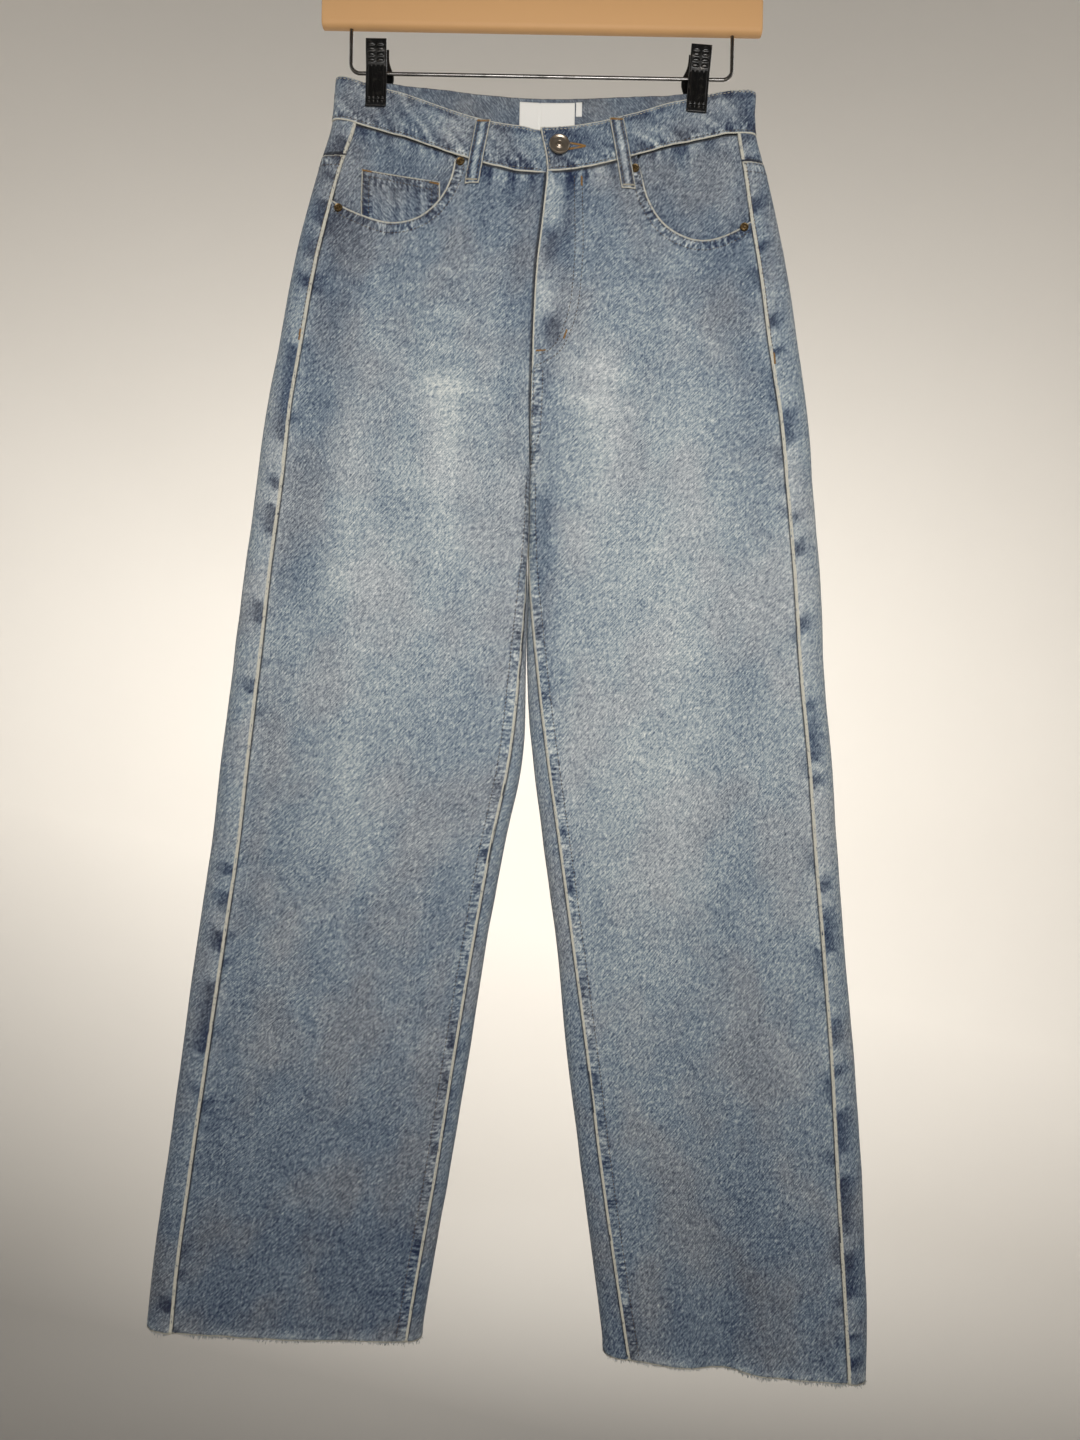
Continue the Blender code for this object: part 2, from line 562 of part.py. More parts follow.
def make_back(side, collection):
    def place(share, row, layer):
        row = row.astype(int)
        top = meet(side, "back", share, lambda x, y: yoke_seam(side, x, y) - SEAM_GAP / 2)
        z = panel_heights(side, "back", share, row, top)
        return panel_point(side, "back", share, z, layer * WALL)

    rows = np.arange(len(HEM_ROWS) + len(LEVELS) + len(TOP_ROWS))
    slab("back_" + side, BACK_COLUMNS, rows, place, DENIM, collection)


def make_yoke(side, collection):
    def place(share, row, layer):
        low = meet(side, "back", share, lambda x, y: yoke_seam(side, x, y) + SEAM_GAP / 2)

        def band_seam(x, y):
            return np.where(y > 0, waist_seam("back", x), waist_seam("front", x)) - SEAM_GAP

        high = meet(side, "back", share, band_seam)
        z = low + (high - low) * row
        return panel_point(side, "back", share, z, layer * WALL)

    slab("yoke_" + side, YOKE_COLUMNS, np.linspace(0, 1, 4), place, DENIM, collection)


UNDERLAP, UNDERLAP_STARTS = 36.0, 6.0
UNDERLAP_SINK = BAND_WALL + 0.6
UNDERLAP_RUN = 16.0


def band_point(spot, height, sink):
    """A point of the waistband, at this height above the waist seam. spot runs from 0 at the fly on the
    wearer's right, round the back at 0.5, to 1 at the fly on the left; below 0 it is under the fly."""
    point = np.zeros((len(spot), 3))
    for side in SIDES:
        chosen = (spot >= 0) & (spot <= 0.5) if side == "right" else (spot < 0) | (spot > 0.5)
        if not chosen.any():
            continue
        here = spot[chosen]
        under = here <= 0
        share = np.where(under, -here, here) if side == "right" else np.where(under, -here, 1 - here)
        z = np.full(len(here), START_HEIGHT)
        for _ in range(ROUNDS):
            _, _, lengths = girth(side, z)
            tip, whole = lengths[:, len(TURNS) - 1], lengths[:, 2 * (len(TURNS) - 1)]
            length = tip * np.minimum(share * 4, 1) + (whole - tip) * np.clip(share * 4 - 1, 0, 1)
            if side == "left":
                length = np.where(under, length, np.maximum(length, SEAM_GAP))
            x = along(side, z, length, np.zeros(len(z)))[:, 0]
            foot = np.where(length < tip, waist_seam("front", x), waist_seam("back", x))
            z = (z + foot + height[chosen]) / 2
        tuck = ease(1 - length / UNDERLAP_RUN) if side == "right" else np.where(under, 1.0, 0.0)
        point[chosen] = along(side, z, length, sink[chosen] - BAND_PROUD + UNDERLAP_SINK * tuck)
    return point


def make_band(collection):
    under = -np.linspace(UNDERLAP, UNDERLAP_STARTS, 4) / (4 * WAIST_HALF)
    half = np.concatenate([BAND_COLUMNS, 2 - BAND_COLUMNS[-2::-1]]) / 4
    spots = np.concatenate([under, half, 1 - half[-2::-1]])

    def place(spot, height, layer):
        return band_point(spot, height, layer * BAND_WALL)

    slab("waistband", spots, np.array([0.0, 0.5, 1.0]) * BAND_HEIGHT, place, DENIM, collection)


def on_cloth(side, face, x, z, out):
    """A point this far out from the cloth's outer face, square to it (below 0 it is inside the garment)."""
    outwards = -1.0 if face == "front" else 1.0
    y = cloth_y(side, face, x, z)
    slope_x = (cloth_y(side, face, x + 0.5, z) - cloth_y(side, face, x - 0.5, z)) * outwards
    slope_z = (cloth_y(side, face, x, z + 0.5) - cloth_y(side, face, x, z - 0.5)) * outwards
    normal = np.stack([-slope_x, np.full(np.shape(x), outwards), -slope_z], axis=-1)
    normal /= np.linalg.norm(normal, axis=-1)[..., None]
    return np.stack([x, y, z], axis=-1) + normal * np.reshape(out, np.shape(x) + (1,)), normal


def on_pieces(pieces, face, x, z, out):
    """Points this far out from the made pieces' own facets, seen square from the front or the back."""
    heading = Vector((0, 1, 0)) if face == "front" else Vector((0, -1, 0))
    points, normals = [], []
    for px, pz, reach in zip(x, z, np.broadcast_to(out, np.shape(x))):
        # Rays beside the first one meet cloth where the first falls into a seam's gap.
        asides = ((0.0, 0.0), (1.2, 0.0), (0.0, 1.2), (0.0, -1.2))
        starts = [Vector(((px + dx) * MM, -heading.y, (pz + dz) * MM)) for dx, dz in asides]
        hits = [tree.ray_cast(start, heading) for tree in pieces for start in starts]
        found = min((hit for hit in hits if hit[0] is not None), key=lambda hit: hit[3])
        normal = found[1] if found[1].dot(heading) < 0 else -found[1]
        points.append(Vector((px, found[0].y / MM, pz)) + normal * reach)
        normals.append(normal)
    return np.array(points), normals


def facets(collection, *names):
    graph = bpy.context.evaluated_depsgraph_get()
    return [BVHTree.FromObject(collection.objects[name], graph) for name in names]


def make_facing(side, collection):
    mouth = SCOOPS[side]

    def place(share, down, layer):
        x_in = mouth["start"] - FACING_INNER_MARGIN * SIDES[side]
        z = np.full(len(share), float(waist_seam("front", x_in)))
        for _ in range(ROUNDS):
            x_out = flat(side + "_outer", z) - SIDES[side] * (flat(side + "_outseam", z) + FACING_SIDE_GAP)
            x = x_in + (x_out - x_in) * share
            top = waist_seam("front", x) - 2 * SEAM_GAP
            z = top + (scoop(side, x, FACING_MARGIN) - top) * down
        lower = ease((FACING_SINKS_FROM - z) / FACING_SINKS_OVER)
        sink = FACING_SINK_TOP + (FACING_SINK_LOW - FACING_SINK_TOP) * lower
        return on_cloth(side, "front", x, z, -sink - layer * FACING_WALL)[0]

    across = np.concatenate([np.linspace(0, 0.3, 6), np.linspace(0.3, 1, 10)[1:]])
    slab("pocket_facing_" + side, across, np.linspace(0, 1, 8), place, DENIM, collection)


def make_coin_pocket(collection):
    facing = facets(collection, "pocket_facing_right")

    def place(share, down, layer):
        x = COIN_LEFT + (COIN_RIGHT - COIN_LEFT) * share
        top = COIN_TOP_LEFT + (COIN_TOP_RIGHT - COIN_TOP_LEFT) * share
        foot = scoop("right", x, COIN_MARGIN)
        z = top + (foot - top) * down
        return on_pieces(facing, "front", x, z, LAYER_GAP + layer * COIN_WALL)[0]

    slab("coin_pocket", np.linspace(0, 1, 10), np.linspace(0, 1, 5), place, DENIM, collection)


def make_fly_shield(collection):
    def place(share, down, layer):
        top = waist_seam("front", 3.0) - 2 * SEAM_GAP
        z = top + (FLY_FOOT - top) * down
        reach = (FLY_WIDTH + FLY_UNDER) * share
        x = flat("left_inner", z) - FLY_UNDER + reach
        sink = -WALL - 2 * LAYER_GAP - layer * WALL
        right = on_cloth("right", "front", x, z, sink)[0]
        left = on_cloth("left", "front", x, z, sink)[0]
        return np.where((reach < FLY_UNDER)[:, None], right, left)

    slab("fly_shield", np.linspace(0, 1, 8), np.linspace(0, 1, 9), place, DENIM_INSIDE, collection)


def make_back_pocket(side, collection):
    panel = facets(collection, "back_" + side)

    def place(share, down, layer):
        top_x = POCKET_TOP_INNER[0] + (POCKET_TOP_OUTER[0] - POCKET_TOP_INNER[0]) * share
        top_z = POCKET_TOP_INNER[1] + (POCKET_TOP_OUTER[1] - POCKET_TOP_INNER[1]) * share
        point = POCKET_POINT * (1 - np.abs(2 * share - 1))
        x = SEAT_MIDDLE + SIDES[side] * (top_x + POCKET_TAPER * (1 - 2 * share) * down)
        z = top_z - (POCKET_SIDE_HEIGHT + point) * down
        return on_pieces(panel, "back", x, z, LAYER_GAP + layer * WALL)[0]

    slab("back_pocket_" + side, np.linspace(0, 1, 9), np.linspace(0, 1, 8), place, DENIM, collection)


def make_belt_loop(name, collection):
    face, top_x, foot_x, foot_z = BELT_LOOPS[name]
    top_z = band_top(face, top_x) - LOOP_DROP
    under = ("front_right", "front_left") if face == "front" else ("yoke_right", "yoke_left")
    cloth = facets(collection, "waistband", *under)

    def place(share, down, layer):
        z = top_z + (foot_z - top_z) * down
        x = top_x + (foot_x - top_x) * down + (share - 0.5) * LOOP_WIDTH
        arch = LOOP_ARCH * np.sin(np.pi * down)
        return on_pieces(cloth, face, x, z, LOOP_GAP + arch + layer * LOOP_WALL)[0]

    slab(name, np.linspace(0, 1, 3), np.linspace(0, 1, 8), place, DENIM, collection)


def make_label(collection):
    inside = BAND_WALL - BAND_PROUD + LAYER_GAP

    def label_place(share, down, layer):
        x = LABEL_X + LABEL_WIDTH * (share - 0.5)
        z = band_top("back", x) - LABEL_DROP - LABEL_HEIGHT * down
        sink = inside + LABEL_BULGE * np.sin(np.pi * down) + layer * LABEL_WALL
        return on_cloth("left", "back", x, z, -sink)[0]

    def tag_place(share, down, layer):
        x = LABEL_X + LABEL_WIDTH / 2 + TAG_GAP + TAG_WIDTH * share
        z = band_top("back", x) - LABEL_DROP - TAG_HEIGHT * down
        return on_cloth("left", "back", x, z, -inside - TAG_STAND - layer * TAG_WALL)[0]

    slab("label", np.linspace(0, 1, 7), np.linspace(0, 1, 4), label_place, SATIN, collection)
    slab("size_tag", np.linspace(0, 1, 3), np.linspace(0, 1, 3), tag_place, SATIN, collection)


# ---------------------------------------------------------------- hard trim

BUTTON_PROFILE = (
    (0.0, 4.6), (1.6, 4.4), (2.4, 3.6), (4.2, 3.4), (6.6, 3.9), (8.0, 3.5), (8.5, 2.8), (8.0, 2.1),
    (4.5, 1.7), (4.5, 0.0), (0.0, 0.0),
)
RIVET_PROFILE = ((0.0, 1.7), (1.4, 1.5), (2.0, 0.8), (3.3, 0.8), (3.6, 0.3), (3.6, 0.0), (0.0, 0.0))


def make_button(collection):
    x, z = BUTTON_AT
    band = facets(collection, "waistband")
    spot, normal = on_pieces(band, "front", np.array([x]), np.array([z]), LAYER_GAP)
    turned("button", BUTTON_PROFILE, spot[0], normal[0], 24, BRONZE, collection)


def make_rivet(name, collection):
    panel = facets(collection, "front_right" if "right" in name else "front_left")
    x, z = RIVETS[name]
    spot, normal = on_pieces(panel, "front", np.array([x]), np.array([z]), LAYER_GAP)
    turned(name, RIVET_PROFILE, spot[0], normal[0], 14, BRONZE, collection)


# ---------------------------------------------------------------- hanger


def arc(centre, radius, start, end, count):
    """Points round an arc in the XZ plane, with its angles in degrees from +X towards +Z."""
    angles = np.radians(np.linspace(start, end, count))
    return [(centre[0] + radius * math.cos(a), 0.0, centre[1] + radius * math.sin(a)) for a in angles]


def make_bar(collection):
    bm = bmesh.new()
    bmesh.ops.create_cube(bm, size=1.0)
    size = np.array((BAR_LENGTH, BAR_DEPTH, BAR_HEIGHT)) * MM
    bmesh.ops.scale(bm, verts=bm.verts, vec=size)
    bmesh.ops.translate(bm, verts=bm.verts, vec=(0, 0, (BAR_TOP - BAR_HEIGHT / 2) * MM))
    bar = add_mesh("hanger_bar", bm, WOOD, collection)
    bevel = bar.modifiers.new("rounded", "BEVEL")
    bevel.width = BAR_ROUNDING * MM
    bevel.segments = 3


def make_hook(collection):
    radius = HOOK_INNER + HOOK_WIRE / 2
    centre = (0.0, -HOOK_INNER)
    crook = arc(centre, radius, HOOK_TIP, HOOK_LEAVES, 22)
    leave = np.array(crook[-1])
    foot = np.array((0.0, 0.0, BAR_TOP + STEM))
    bend = math.radians(HOOK_LEAVES)
    heading = np.array((math.sin(bend), 0.0, -math.cos(bend))) * NECK_LEAVES
    neck = []
    for t in np.linspace(0, 1, 8)[1:]:
        blend = (1 - t) ** 3 * leave + 3 * (1 - t) ** 2 * t * (leave + heading)
        neck.append(blend + 3 * (1 - t) * t * t * (foot + (0, 0, NECK_REACHES)) + t**3 * foot)
    stem = [(0.0, 0.0, BAR_TOP + SEAM_GAP)]
    tube("hanger_hook", crook + neck + stem, HOOK_WIRE, WIRE, collection)


def make_rail(collection):
    top = BAR_TOP - BAR_HEIGHT - SEAM_GAP
    left = [(-RAIL_HALF, 0.0, top)]
    left += arc((-RAIL_HALF + RAIL_BEND, RAIL_HEIGHT + RAIL_BEND), RAIL_BEND, 180, 270, 6)
    right = [(-x, y, z) for x, y, z in reversed(left)]
    tube("hanger_rail", left + right, RAIL_WIRE, WIRE, collection)


def make_clip(side, collection):
    clip = CLIPS[side]
    lean = Matrix.Rotation(math.radians(clip["lean"]), 3, "Y")
    hub = Vector((clip["x"], 0.0, RAIL_HEIGHT))
    heights = np.array([row[0] for row in CLIP_PROFILE], float)
    stand = np.array([row[1] for row in CLIP_PROFILE], float)

    def carry(points):
        return np.array([hub + lean @ Vector(p) for p in points])

    for face, outwards in (("front", -1), ("back", 1)):

        def place(share, row, layer):
            row = row.astype(int)
            rise = np.gradient(stand, heights)[row]
            flank = np.stack([np.ones(len(rise)), -rise], axis=1) / np.hypot(1, rise)[:, None]
            wing = CLIP_WING * (face == "back") * np.exp(-(((heights[row] - WING_HEIGHT) / WING_REACH) ** 2))
            x = (share - 0.5) * CLIP_WIDTH - SIDES[side] * wing * (share * SIDES[side] < 0.5 * SIDES[side])
            off = stand[row] + flank[:, 0] * layer * CLIP_SHEET
            z = heights[row] + flank[:, 1] * layer * CLIP_SHEET
            return carry(np.stack([x, outwards * off, z], axis=1))

        name = "clip_" + face + "_" + side
        slab(name, np.linspace(0, 1, 4), np.arange(len(heights)), place, CLIP_METAL, collection)

    # The barrel between the jaws, round the rail.
    outer, inner = CLIP_BARREL / 2, RAIL_WIRE / 2 + BARREL_GAP
    high, low = BARREL_HALF, -BARREL_HALF
    profile = [(inner, high), (outer, high), (outer, low), (inner, low), (inner, high)]
    turned("clip_barrel_" + side, profile, hub, (1, 0, 0), 16, CLIP_METAL, collection)


def clear_scene():
    for old in list(bpy.data.objects):
        bpy.data.objects.remove(old, do_unlink=True)


def main():
    clear_scene()
    collection = bpy.data.collections.new("wide_leg_jeans")
    bpy.context.scene.collection.children.link(collection)
    for side in SIDES:
        make_front(side, collection)
        make_back(side, collection)
        make_yoke(side, collection)
        make_facing(side, collection)
        make_back_pocket(side, collection)
        make_clip(side, collection)
    make_band(collection)
    make_coin_pocket(collection)
    make_fly_shield(collection)
    for name in BELT_LOOPS:
        make_belt_loop(name, collection)
    make_label(collection)
    make_button(collection)
    for name in RIVETS:
        make_rivet(name, collection)
    make_bar(collection)
    make_hook(collection)
    make_rail(collection)


main()
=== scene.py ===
"""Wide leg jeans on a trouser hanger: the finish of every piece, laid out as a Blender add-on.

Tables and sizes are in millimetres and MM turns them into metres. +Z is up, +X is the wearer's left and the
front of the jeans faces -Y. The cloth is laid on the same surface as the solids: at each height one flattened
tube for each side, whose cloth is measured from the inner edge along the front, round the outer edge and
along the back. A point of the cloth is that length, its height, and how far it stands off the surface.
"""

import math

import bmesh
import bpy
import numpy as np
from bpy.props import FloatProperty, FloatVectorProperty
from mathutils import Matrix, Vector
from mathutils.bvhtree import BVHTree


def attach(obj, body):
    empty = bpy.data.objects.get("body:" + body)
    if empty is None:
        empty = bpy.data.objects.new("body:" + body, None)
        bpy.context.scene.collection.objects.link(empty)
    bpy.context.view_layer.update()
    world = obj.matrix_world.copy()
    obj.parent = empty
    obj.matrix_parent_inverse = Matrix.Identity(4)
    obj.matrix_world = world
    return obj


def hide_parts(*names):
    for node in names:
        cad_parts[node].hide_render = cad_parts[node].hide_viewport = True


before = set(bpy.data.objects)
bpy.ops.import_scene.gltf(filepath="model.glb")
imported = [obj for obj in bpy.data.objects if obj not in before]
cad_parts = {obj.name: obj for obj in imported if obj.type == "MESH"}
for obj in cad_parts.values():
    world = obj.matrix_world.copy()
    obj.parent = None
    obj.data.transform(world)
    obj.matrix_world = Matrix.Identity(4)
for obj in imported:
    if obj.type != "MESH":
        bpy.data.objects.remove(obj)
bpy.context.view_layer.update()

bl_info = {
    "name": "Wide Leg Jeans",
    "version": (1, 0, 0),
    "blender": (4, 5, 0),
    "location": "View3D > Sidebar > Jeans",
    "description": "Washed denim jeans with raw hems on a wooden trouser hanger",
    "category": "Add Mesh",
}

MM = 0.001
SIDES = {"right": -1, "left": 1}

# ---------------------------------------------------------------- sizes of the solids

WALL, SEAM_GAP, LAYER_GAP = 1.3, 0.3, 0.4
BAND_HEIGHT, BAND_WALL, BAND_PROUD = 37.0, 3.0, 0.6
BAND_CORNER_RIGHT, BAND_CORNER_LEFT = -149.0, -155.0
FRONT_DIP, BACK_DIP = 45.0, 2.0
FORK, FORK_HEIGHT = -481.0, 81.0
HEM_RIGHT, HEM_LEFT = (-1198.0, -1203.0), (-1222.0, -1212.0)
WAIST_MIDDLE, WAIST_HALF = -3.0, 175.0

FLAT_COLUMNS = (
    "height",
    "right_outer", "left_outer", "right_inner", "left_inner",
    "right_outseam", "left_outseam", "right_inseam", "left_inseam",
)
FLAT = (
    (-140, -171.0, 180.0, 0.0, 0.0, 20.0, 15.0, 0.0, 0.0),
    (-190, -175.0, 181.0, -1.0, -1.0, 20.0, 15.5, 0.0, 0.0),
    (-232, -187.5, 193.0, 6.0, 6.0, 20.0, 20.5, 0.0, 0.0),
    (-260, -194.5, 199.5, 4.0, 4.0, 20.5, 23.0, 0.0, 0.0),
    (-310, -205.5, 210.0, -1.0, -1.0, 21.0, 25.0, 0.0, 0.0),
    (-370, -215.0, 220.5, -3.0, -3.0, 21.0, 27.0, 0.0, 0.0),
    (-430, -225.0, 229.0, -3.6, -3.6, 22.0, 25.5, 0.0, 0.0),
    (-481, -231.5, 234.0, -3.6, -3.6, 24.0, 24.5, 0.0, 0.0),
    (-560, -240.5, 241.5, -3.6, -3.6, 24.0, 24.0, 0.8, 1.5),
    (-640, -249.0, 246.5, -3.8, -3.4, 25.0, 22.5, 5.0, 9.0),
    (-720, -257.5, 255.0, -5.5, 3.0, 25.0, 22.0, 11.0, 13.5),
    (-790, -264.0, 260.5, -18.5, 13.5, 25.0, 21.5, 11.5, 14.0),
    (-860, -273.0, 267.0, -30.5, 24.0, 25.0, 21.0, 11.0, 14.0),
    (-960, -285.0, 277.0, -44.0, 36.0, 24.0, 22.0, 12.5, 17.0),
    (-1060, -297.0, 284.5, -58.5, 50.0, 23.5, 23.5, 12.0, 17.0),
    (-1150, -307.5, 287.5, -73.0, 63.0, 23.5, 21.0, 12.0, 18.5),
    (-1235, -314.5, 287.0, -85.5, 75.0, 25.0, 15.5, 12.0, 21.0),
)
DEEP_COLUMNS = (
    "height", "front", "back", "side", "reach", "outer_turn", "right_turn", "left_turn",
    "left_outer_set", "right_inner_set", "left_inner_set",
)
DEEP = (
    (-140, 17.5, 14.0, 5.4, 126, 6, 9, 9, 0, 0, 0),
    (-190, 19.0, 15.0, 5.8, 132, 7, 9, 9, 0, 0, 0),
    (-232, 20.0, 17.0, 7.5, 150, 9, 9, 12, 0, 0, 0),
    (-260, 19.0, 18.0, 9.0, 170, 11, 9, 16, 0, 0, 0),
    (-310, 17.5, 20.0, 11.0, 196, 13, 9, 22, 0, 0, 0),
    (-370, 16.5, 20.0, 12.0, 214, 14, 9, 26, 0, 0, 0),
    (-481, 16.0, 17.0, 12.5, 230, 15, 9, 26, 0, -1, 3),
    (-560, 16.5, 16.5, 12.5, 240, 15, 9, 26, 0, -2, 5),
    (-640, 17.0, 16.5, 12.5, 240, 15, 10, 24, 0, -2, 5),
    (-720, 17.0, 16.0, 12.0, 240, 15, 11, 18, 0, -2, 4),
    (-790, 16.0, 16.0, 12.0, 240, 15, 12, 15, 0, -1, 2),
    (-960, 15.0, 15.5, 11.5, 240, 15, 12, 14, -2, 0, 0),
    (-1060, 14.5, 15.5, 11.5, 240, 15, 13, 14, -6, 0, 0),
    (-1150, 14.5, 15.5, 11.5, 240, 15, 13, 14, -12, 0, 0),
    (-1235, 15.0, 16.0, 11.5, 240, 15, 13, 14, -18, 0, 0),
)
FOLD_COLUMNS = ("face", "x_start", "z_start", "x_end", "z_end", "width", "start", "end")
FOLDS = (
    ("front", -17, -240, -16, -470, 11, -3.0, -3.5),
    ("front", -130, -290, -82, -440, 16, -4.0, -3.0),
    ("front", -76, -420, -82, -640, 26, 2.5, 1.5),
    ("front", -152, -430, -152, -640, 22, 2.0, 1.5),
    ("front", 70, -260, 72, -500, 18, 1.5, 2.0),
    ("front", 98, -255, 100, -500, 15, -3.0, -2.0),
    ("front", 150, -680, 170, -1222, 19, -1.0, -7.5),
    ("front", 112, -860, 128, -1222, 20, 1.0, 2.5),
    ("front", -10, -468, -100, -398, 10, -2.0, -0.8),
    ("front", 6, -468, 98, -404, 10, -2.0, -0.8),
    ("front", -215, -700, -240, -1000, 24, -1.5, -2.0),
    ("back", -16, -468, -120, -372, 14, -3.0, -1.0),
    ("back", 10, -468, 122, -376, 14, -3.0, -1.0),
    ("back", -36, -524, -190, -500, 18, -4.0, -1.5),
    ("back", 34, -528, 188, -506, 18, -4.0, -1.5),
    ("back", -140, -560, -196, -1160, 26, 2.0, 3.5),
    ("back", 138, -560, 176, -1200, 26, -2.0, -4.5),
    ("back", 80, -620, 112, -1200, 22, 1.0, 2.5),
)
SCOOPS = {
    "right": {"start": -70.0, "low_x": -118.0, "low_z": -274.0, "end_z": -255.0},
    "left": {"start": 83.0, "low_x": 136.0, "low_z": -284.0, "end_z": -266.0},
}
FACING_MARGIN, FACING_WALL = 13.0, 1.0
FACING_SINK_TOP, FACING_SINK_LOW = WALL + 0.4, WALL + 1.8
FACING_SINKS_FROM, FACING_SINKS_OVER = -196.0, 18.0
COIN_LEFT, COIN_RIGHT = -148.0, -82.0
COIN_TOP_LEFT, COIN_TOP_RIGHT = -228.0, -241.0
COIN_MARGIN, COIN_WALL = 8.0, 0.8
FLY_FOOT, FLY_WIDTH, FLY_STEP, FLY_STEP_REACH = -392.0, 40.0, 1.6, 14.0
YOKE_SIDE, YOKE_CENTRE = -216.0, -262.0
POCKET_TOP_INNER, POCKET_TOP_OUTER = (22.0, -284.0), (152.0, -266.0)
POCKET_SIDE_HEIGHT, POCKET_POINT, POCKET_TAPER = 122.0, 24.0, 7.0
LABEL_WIDTH, LABEL_HEIGHT, LABEL_X = 47.0, 33.0, 5.5
TAG_WIDTH, TAG_HEIGHT = 5.0, 12.0
LOOP_WIDTH, LOOP_WALL, LOOP_ARCH = 12.0, 1.5, 2.2
BELT_LOOPS = {
    "belt_loop_front_right": ("front", -46.5, -55.5, -244.0),
    "belt_loop_front_left": ("front", 63.0, 74.0, -245.0),
    "belt_loop_back_right": ("back", -98.0, -99.0, -208.0),
    "belt_loop_back_left": ("back", 100.0, 101.0, -210.0),
    "belt_loop_back_centre": ("back", 1.0, 1.0, -208.0),
}
BUTTON_AT = (16.0, -213.5)
RIVETS = {
    "rivet_right_inner": (-65.0, -225.0),
    "rivet_right_outer": (-166.5, -262.0),
    "rivet_left_inner": (79.0, -226.5),
    "rivet_left_outer": (171.0, -272.0),
}
CLIPS = {"right": {"x": -138.0, "lean": 0.0}, "left": {"x": 132.0, "lean": 3.6}}
PINCH_WIDTH, PINCH_DEPTH, PINCH_FOOT = 19.0, 2.7, -232.0

# ---------------------------------------------------------------- settings a user may change


def colour_prop(name, description, default):
    return FloatVectorProperty(
        name=name, description=description, default=default, size=3, min=0, max=1, subtype="COLOR"
    )


class ClothSettings(bpy.types.PropertyGroup):
    """Sizes of the cloth's mesh and of its sewing"""

    row_step: FloatProperty(
        name="Row step", description="Height of one row of the panels' mesh", default=3.3 * MM, unit="LENGTH"
    )
    seam_step: FloatProperty(
        name="Seam step", description="Width of a mesh column near a seam", default=1.5 * MM, unit="LENGTH"
    )
    stitch_pitch: FloatProperty(
        name="Stitch pitch", description="From one stitch to the next", default=3.2 * MM, unit="LENGTH"
    )
    thread: FloatProperty(
        name="Thread", description="Thickness of the topstitching thread", default=0.75 * MM, unit="LENGTH"
    )
    fray: FloatProperty(
        name="Fray",
        description="Usual length of a loose thread at the raw hems",
        default=5.0 * MM,
        unit="LENGTH",
    )


class FinishSettings(bpy.types.PropertyGroup):
    """Colours of the wash, the threads and the stage"""

    indigo: colour_prop("Indigo", "Unworn denim in the puckers", (0.012, 0.022, 0.060))
    shade: colour_prop("Shade", "Denim on the least worn stretches", (0.070, 0.100, 0.155))
    middle: colour_prop("Middle", "Denim of middling wear", (0.195, 0.250, 0.310))
    worn: colour_prop("Worn", "Denim worn pale on the thighs", (0.42, 0.475, 0.50))
    bare: colour_prop("Bare", "Denim worn to the weft", (0.70, 0.73, 0.70))
    edge: colour_prop("Edge", "Cream along worn seam edges", (0.58, 0.565, 0.49))
    tan: colour_prop("Tan thread", "Topstitching thread", (0.075, 0.048, 0.028))
    cream: colour_prop("Cream thread", "Pale topstitching thread", (0.56, 0.52, 0.42))
    ochre: colour_prop("Ochre thread", "Bar tacks and the buttonhole", (0.40, 0.215, 0.06))
    fray: colour_prop("Frayed thread", "Loose threads at the raw hems", (0.42, 0.46, 0.48))
    floor: colour_prop("Floor", "The pale stage", (0.80, 0.765, 0.715))


def cloth_settings():
    return bpy.context.scene.jeans_cloth


def finish_settings():
    return bpy.context.scene.jeans_finish


# ---------------------------------------------------------------- the garment's surface


def smooth(table, columns, name, height):
    """The named column of a table at these heights, on a smooth curve through its rows."""
    column = columns.index(name)
    heights = np.array([row[0] for row in table], float)[::-1]
    values = np.array([row[column] for row in table], float)[::-1]
    slopes = np.gradient(values, heights)
    height = np.asarray(height, float)
    row = np.clip(np.searchsorted(heights, height) - 1, 0, len(heights) - 2)
    step = heights[row + 1] - heights[row]
    t = np.clip((height - heights[row]) / step, 0, 1)
    start, end = values[row], values[row + 1]
    return (
        start * (1 + 2 * t) * (1 - t) ** 2
        + end * t * t * (3 - 2 * t)
        + step * t * (1 - t) * (slopes[row] * (1 - t) - slopes[row + 1] * t)
    )


def flat(name, height):
    return smooth(FLAT, FLAT_COLUMNS, name, height)


def deep(name, height):
    return smooth(DEEP, DEEP_COLUMNS, name, height)


def ease(t):
    t = np.clip(t, 0, 1)
    return t * t * (3 - 2 * t)


def turn(t):
    """The quarter round by which cloth comes back to an edge: 0 on the edge, 1 from t = 1 on."""
    return np.sqrt(1 - (1 - np.clip(t, 0, 1)) ** 2)


def bell(t):
    return np.exp(-(t**2))


def inner_edge(side, height):
    return flat(side + "_inner", height) + SIDES[side] * SEAM_GAP / 2


def along_line(x, z, x_start, z_start, x_end, z_end):
    """How far along a line each point lies, from 0 to 1, and how far away from it."""
    run = np.array((x_end - x_start, z_end - z_start), float)
    t = np.clip(((x - x_start) * run[0] + (z - z_start) * run[1]) / (run @ run), 0, 1)
    return t, np.hypot(x - x_start - t * run[0], z - z_start - t * run[1])


def folds(face, x, z):
    lift = 0.0
    for row in FOLDS:
        fold = dict(zip(FOLD_COLUMNS, row))
        if fold["face"] == face:
            t, away = along_line(x, z, *row[1:5])
            lift = lift + (fold["start"] * (1 - t) + fold["end"] * t) * bell(away / fold["width"])
    return lift


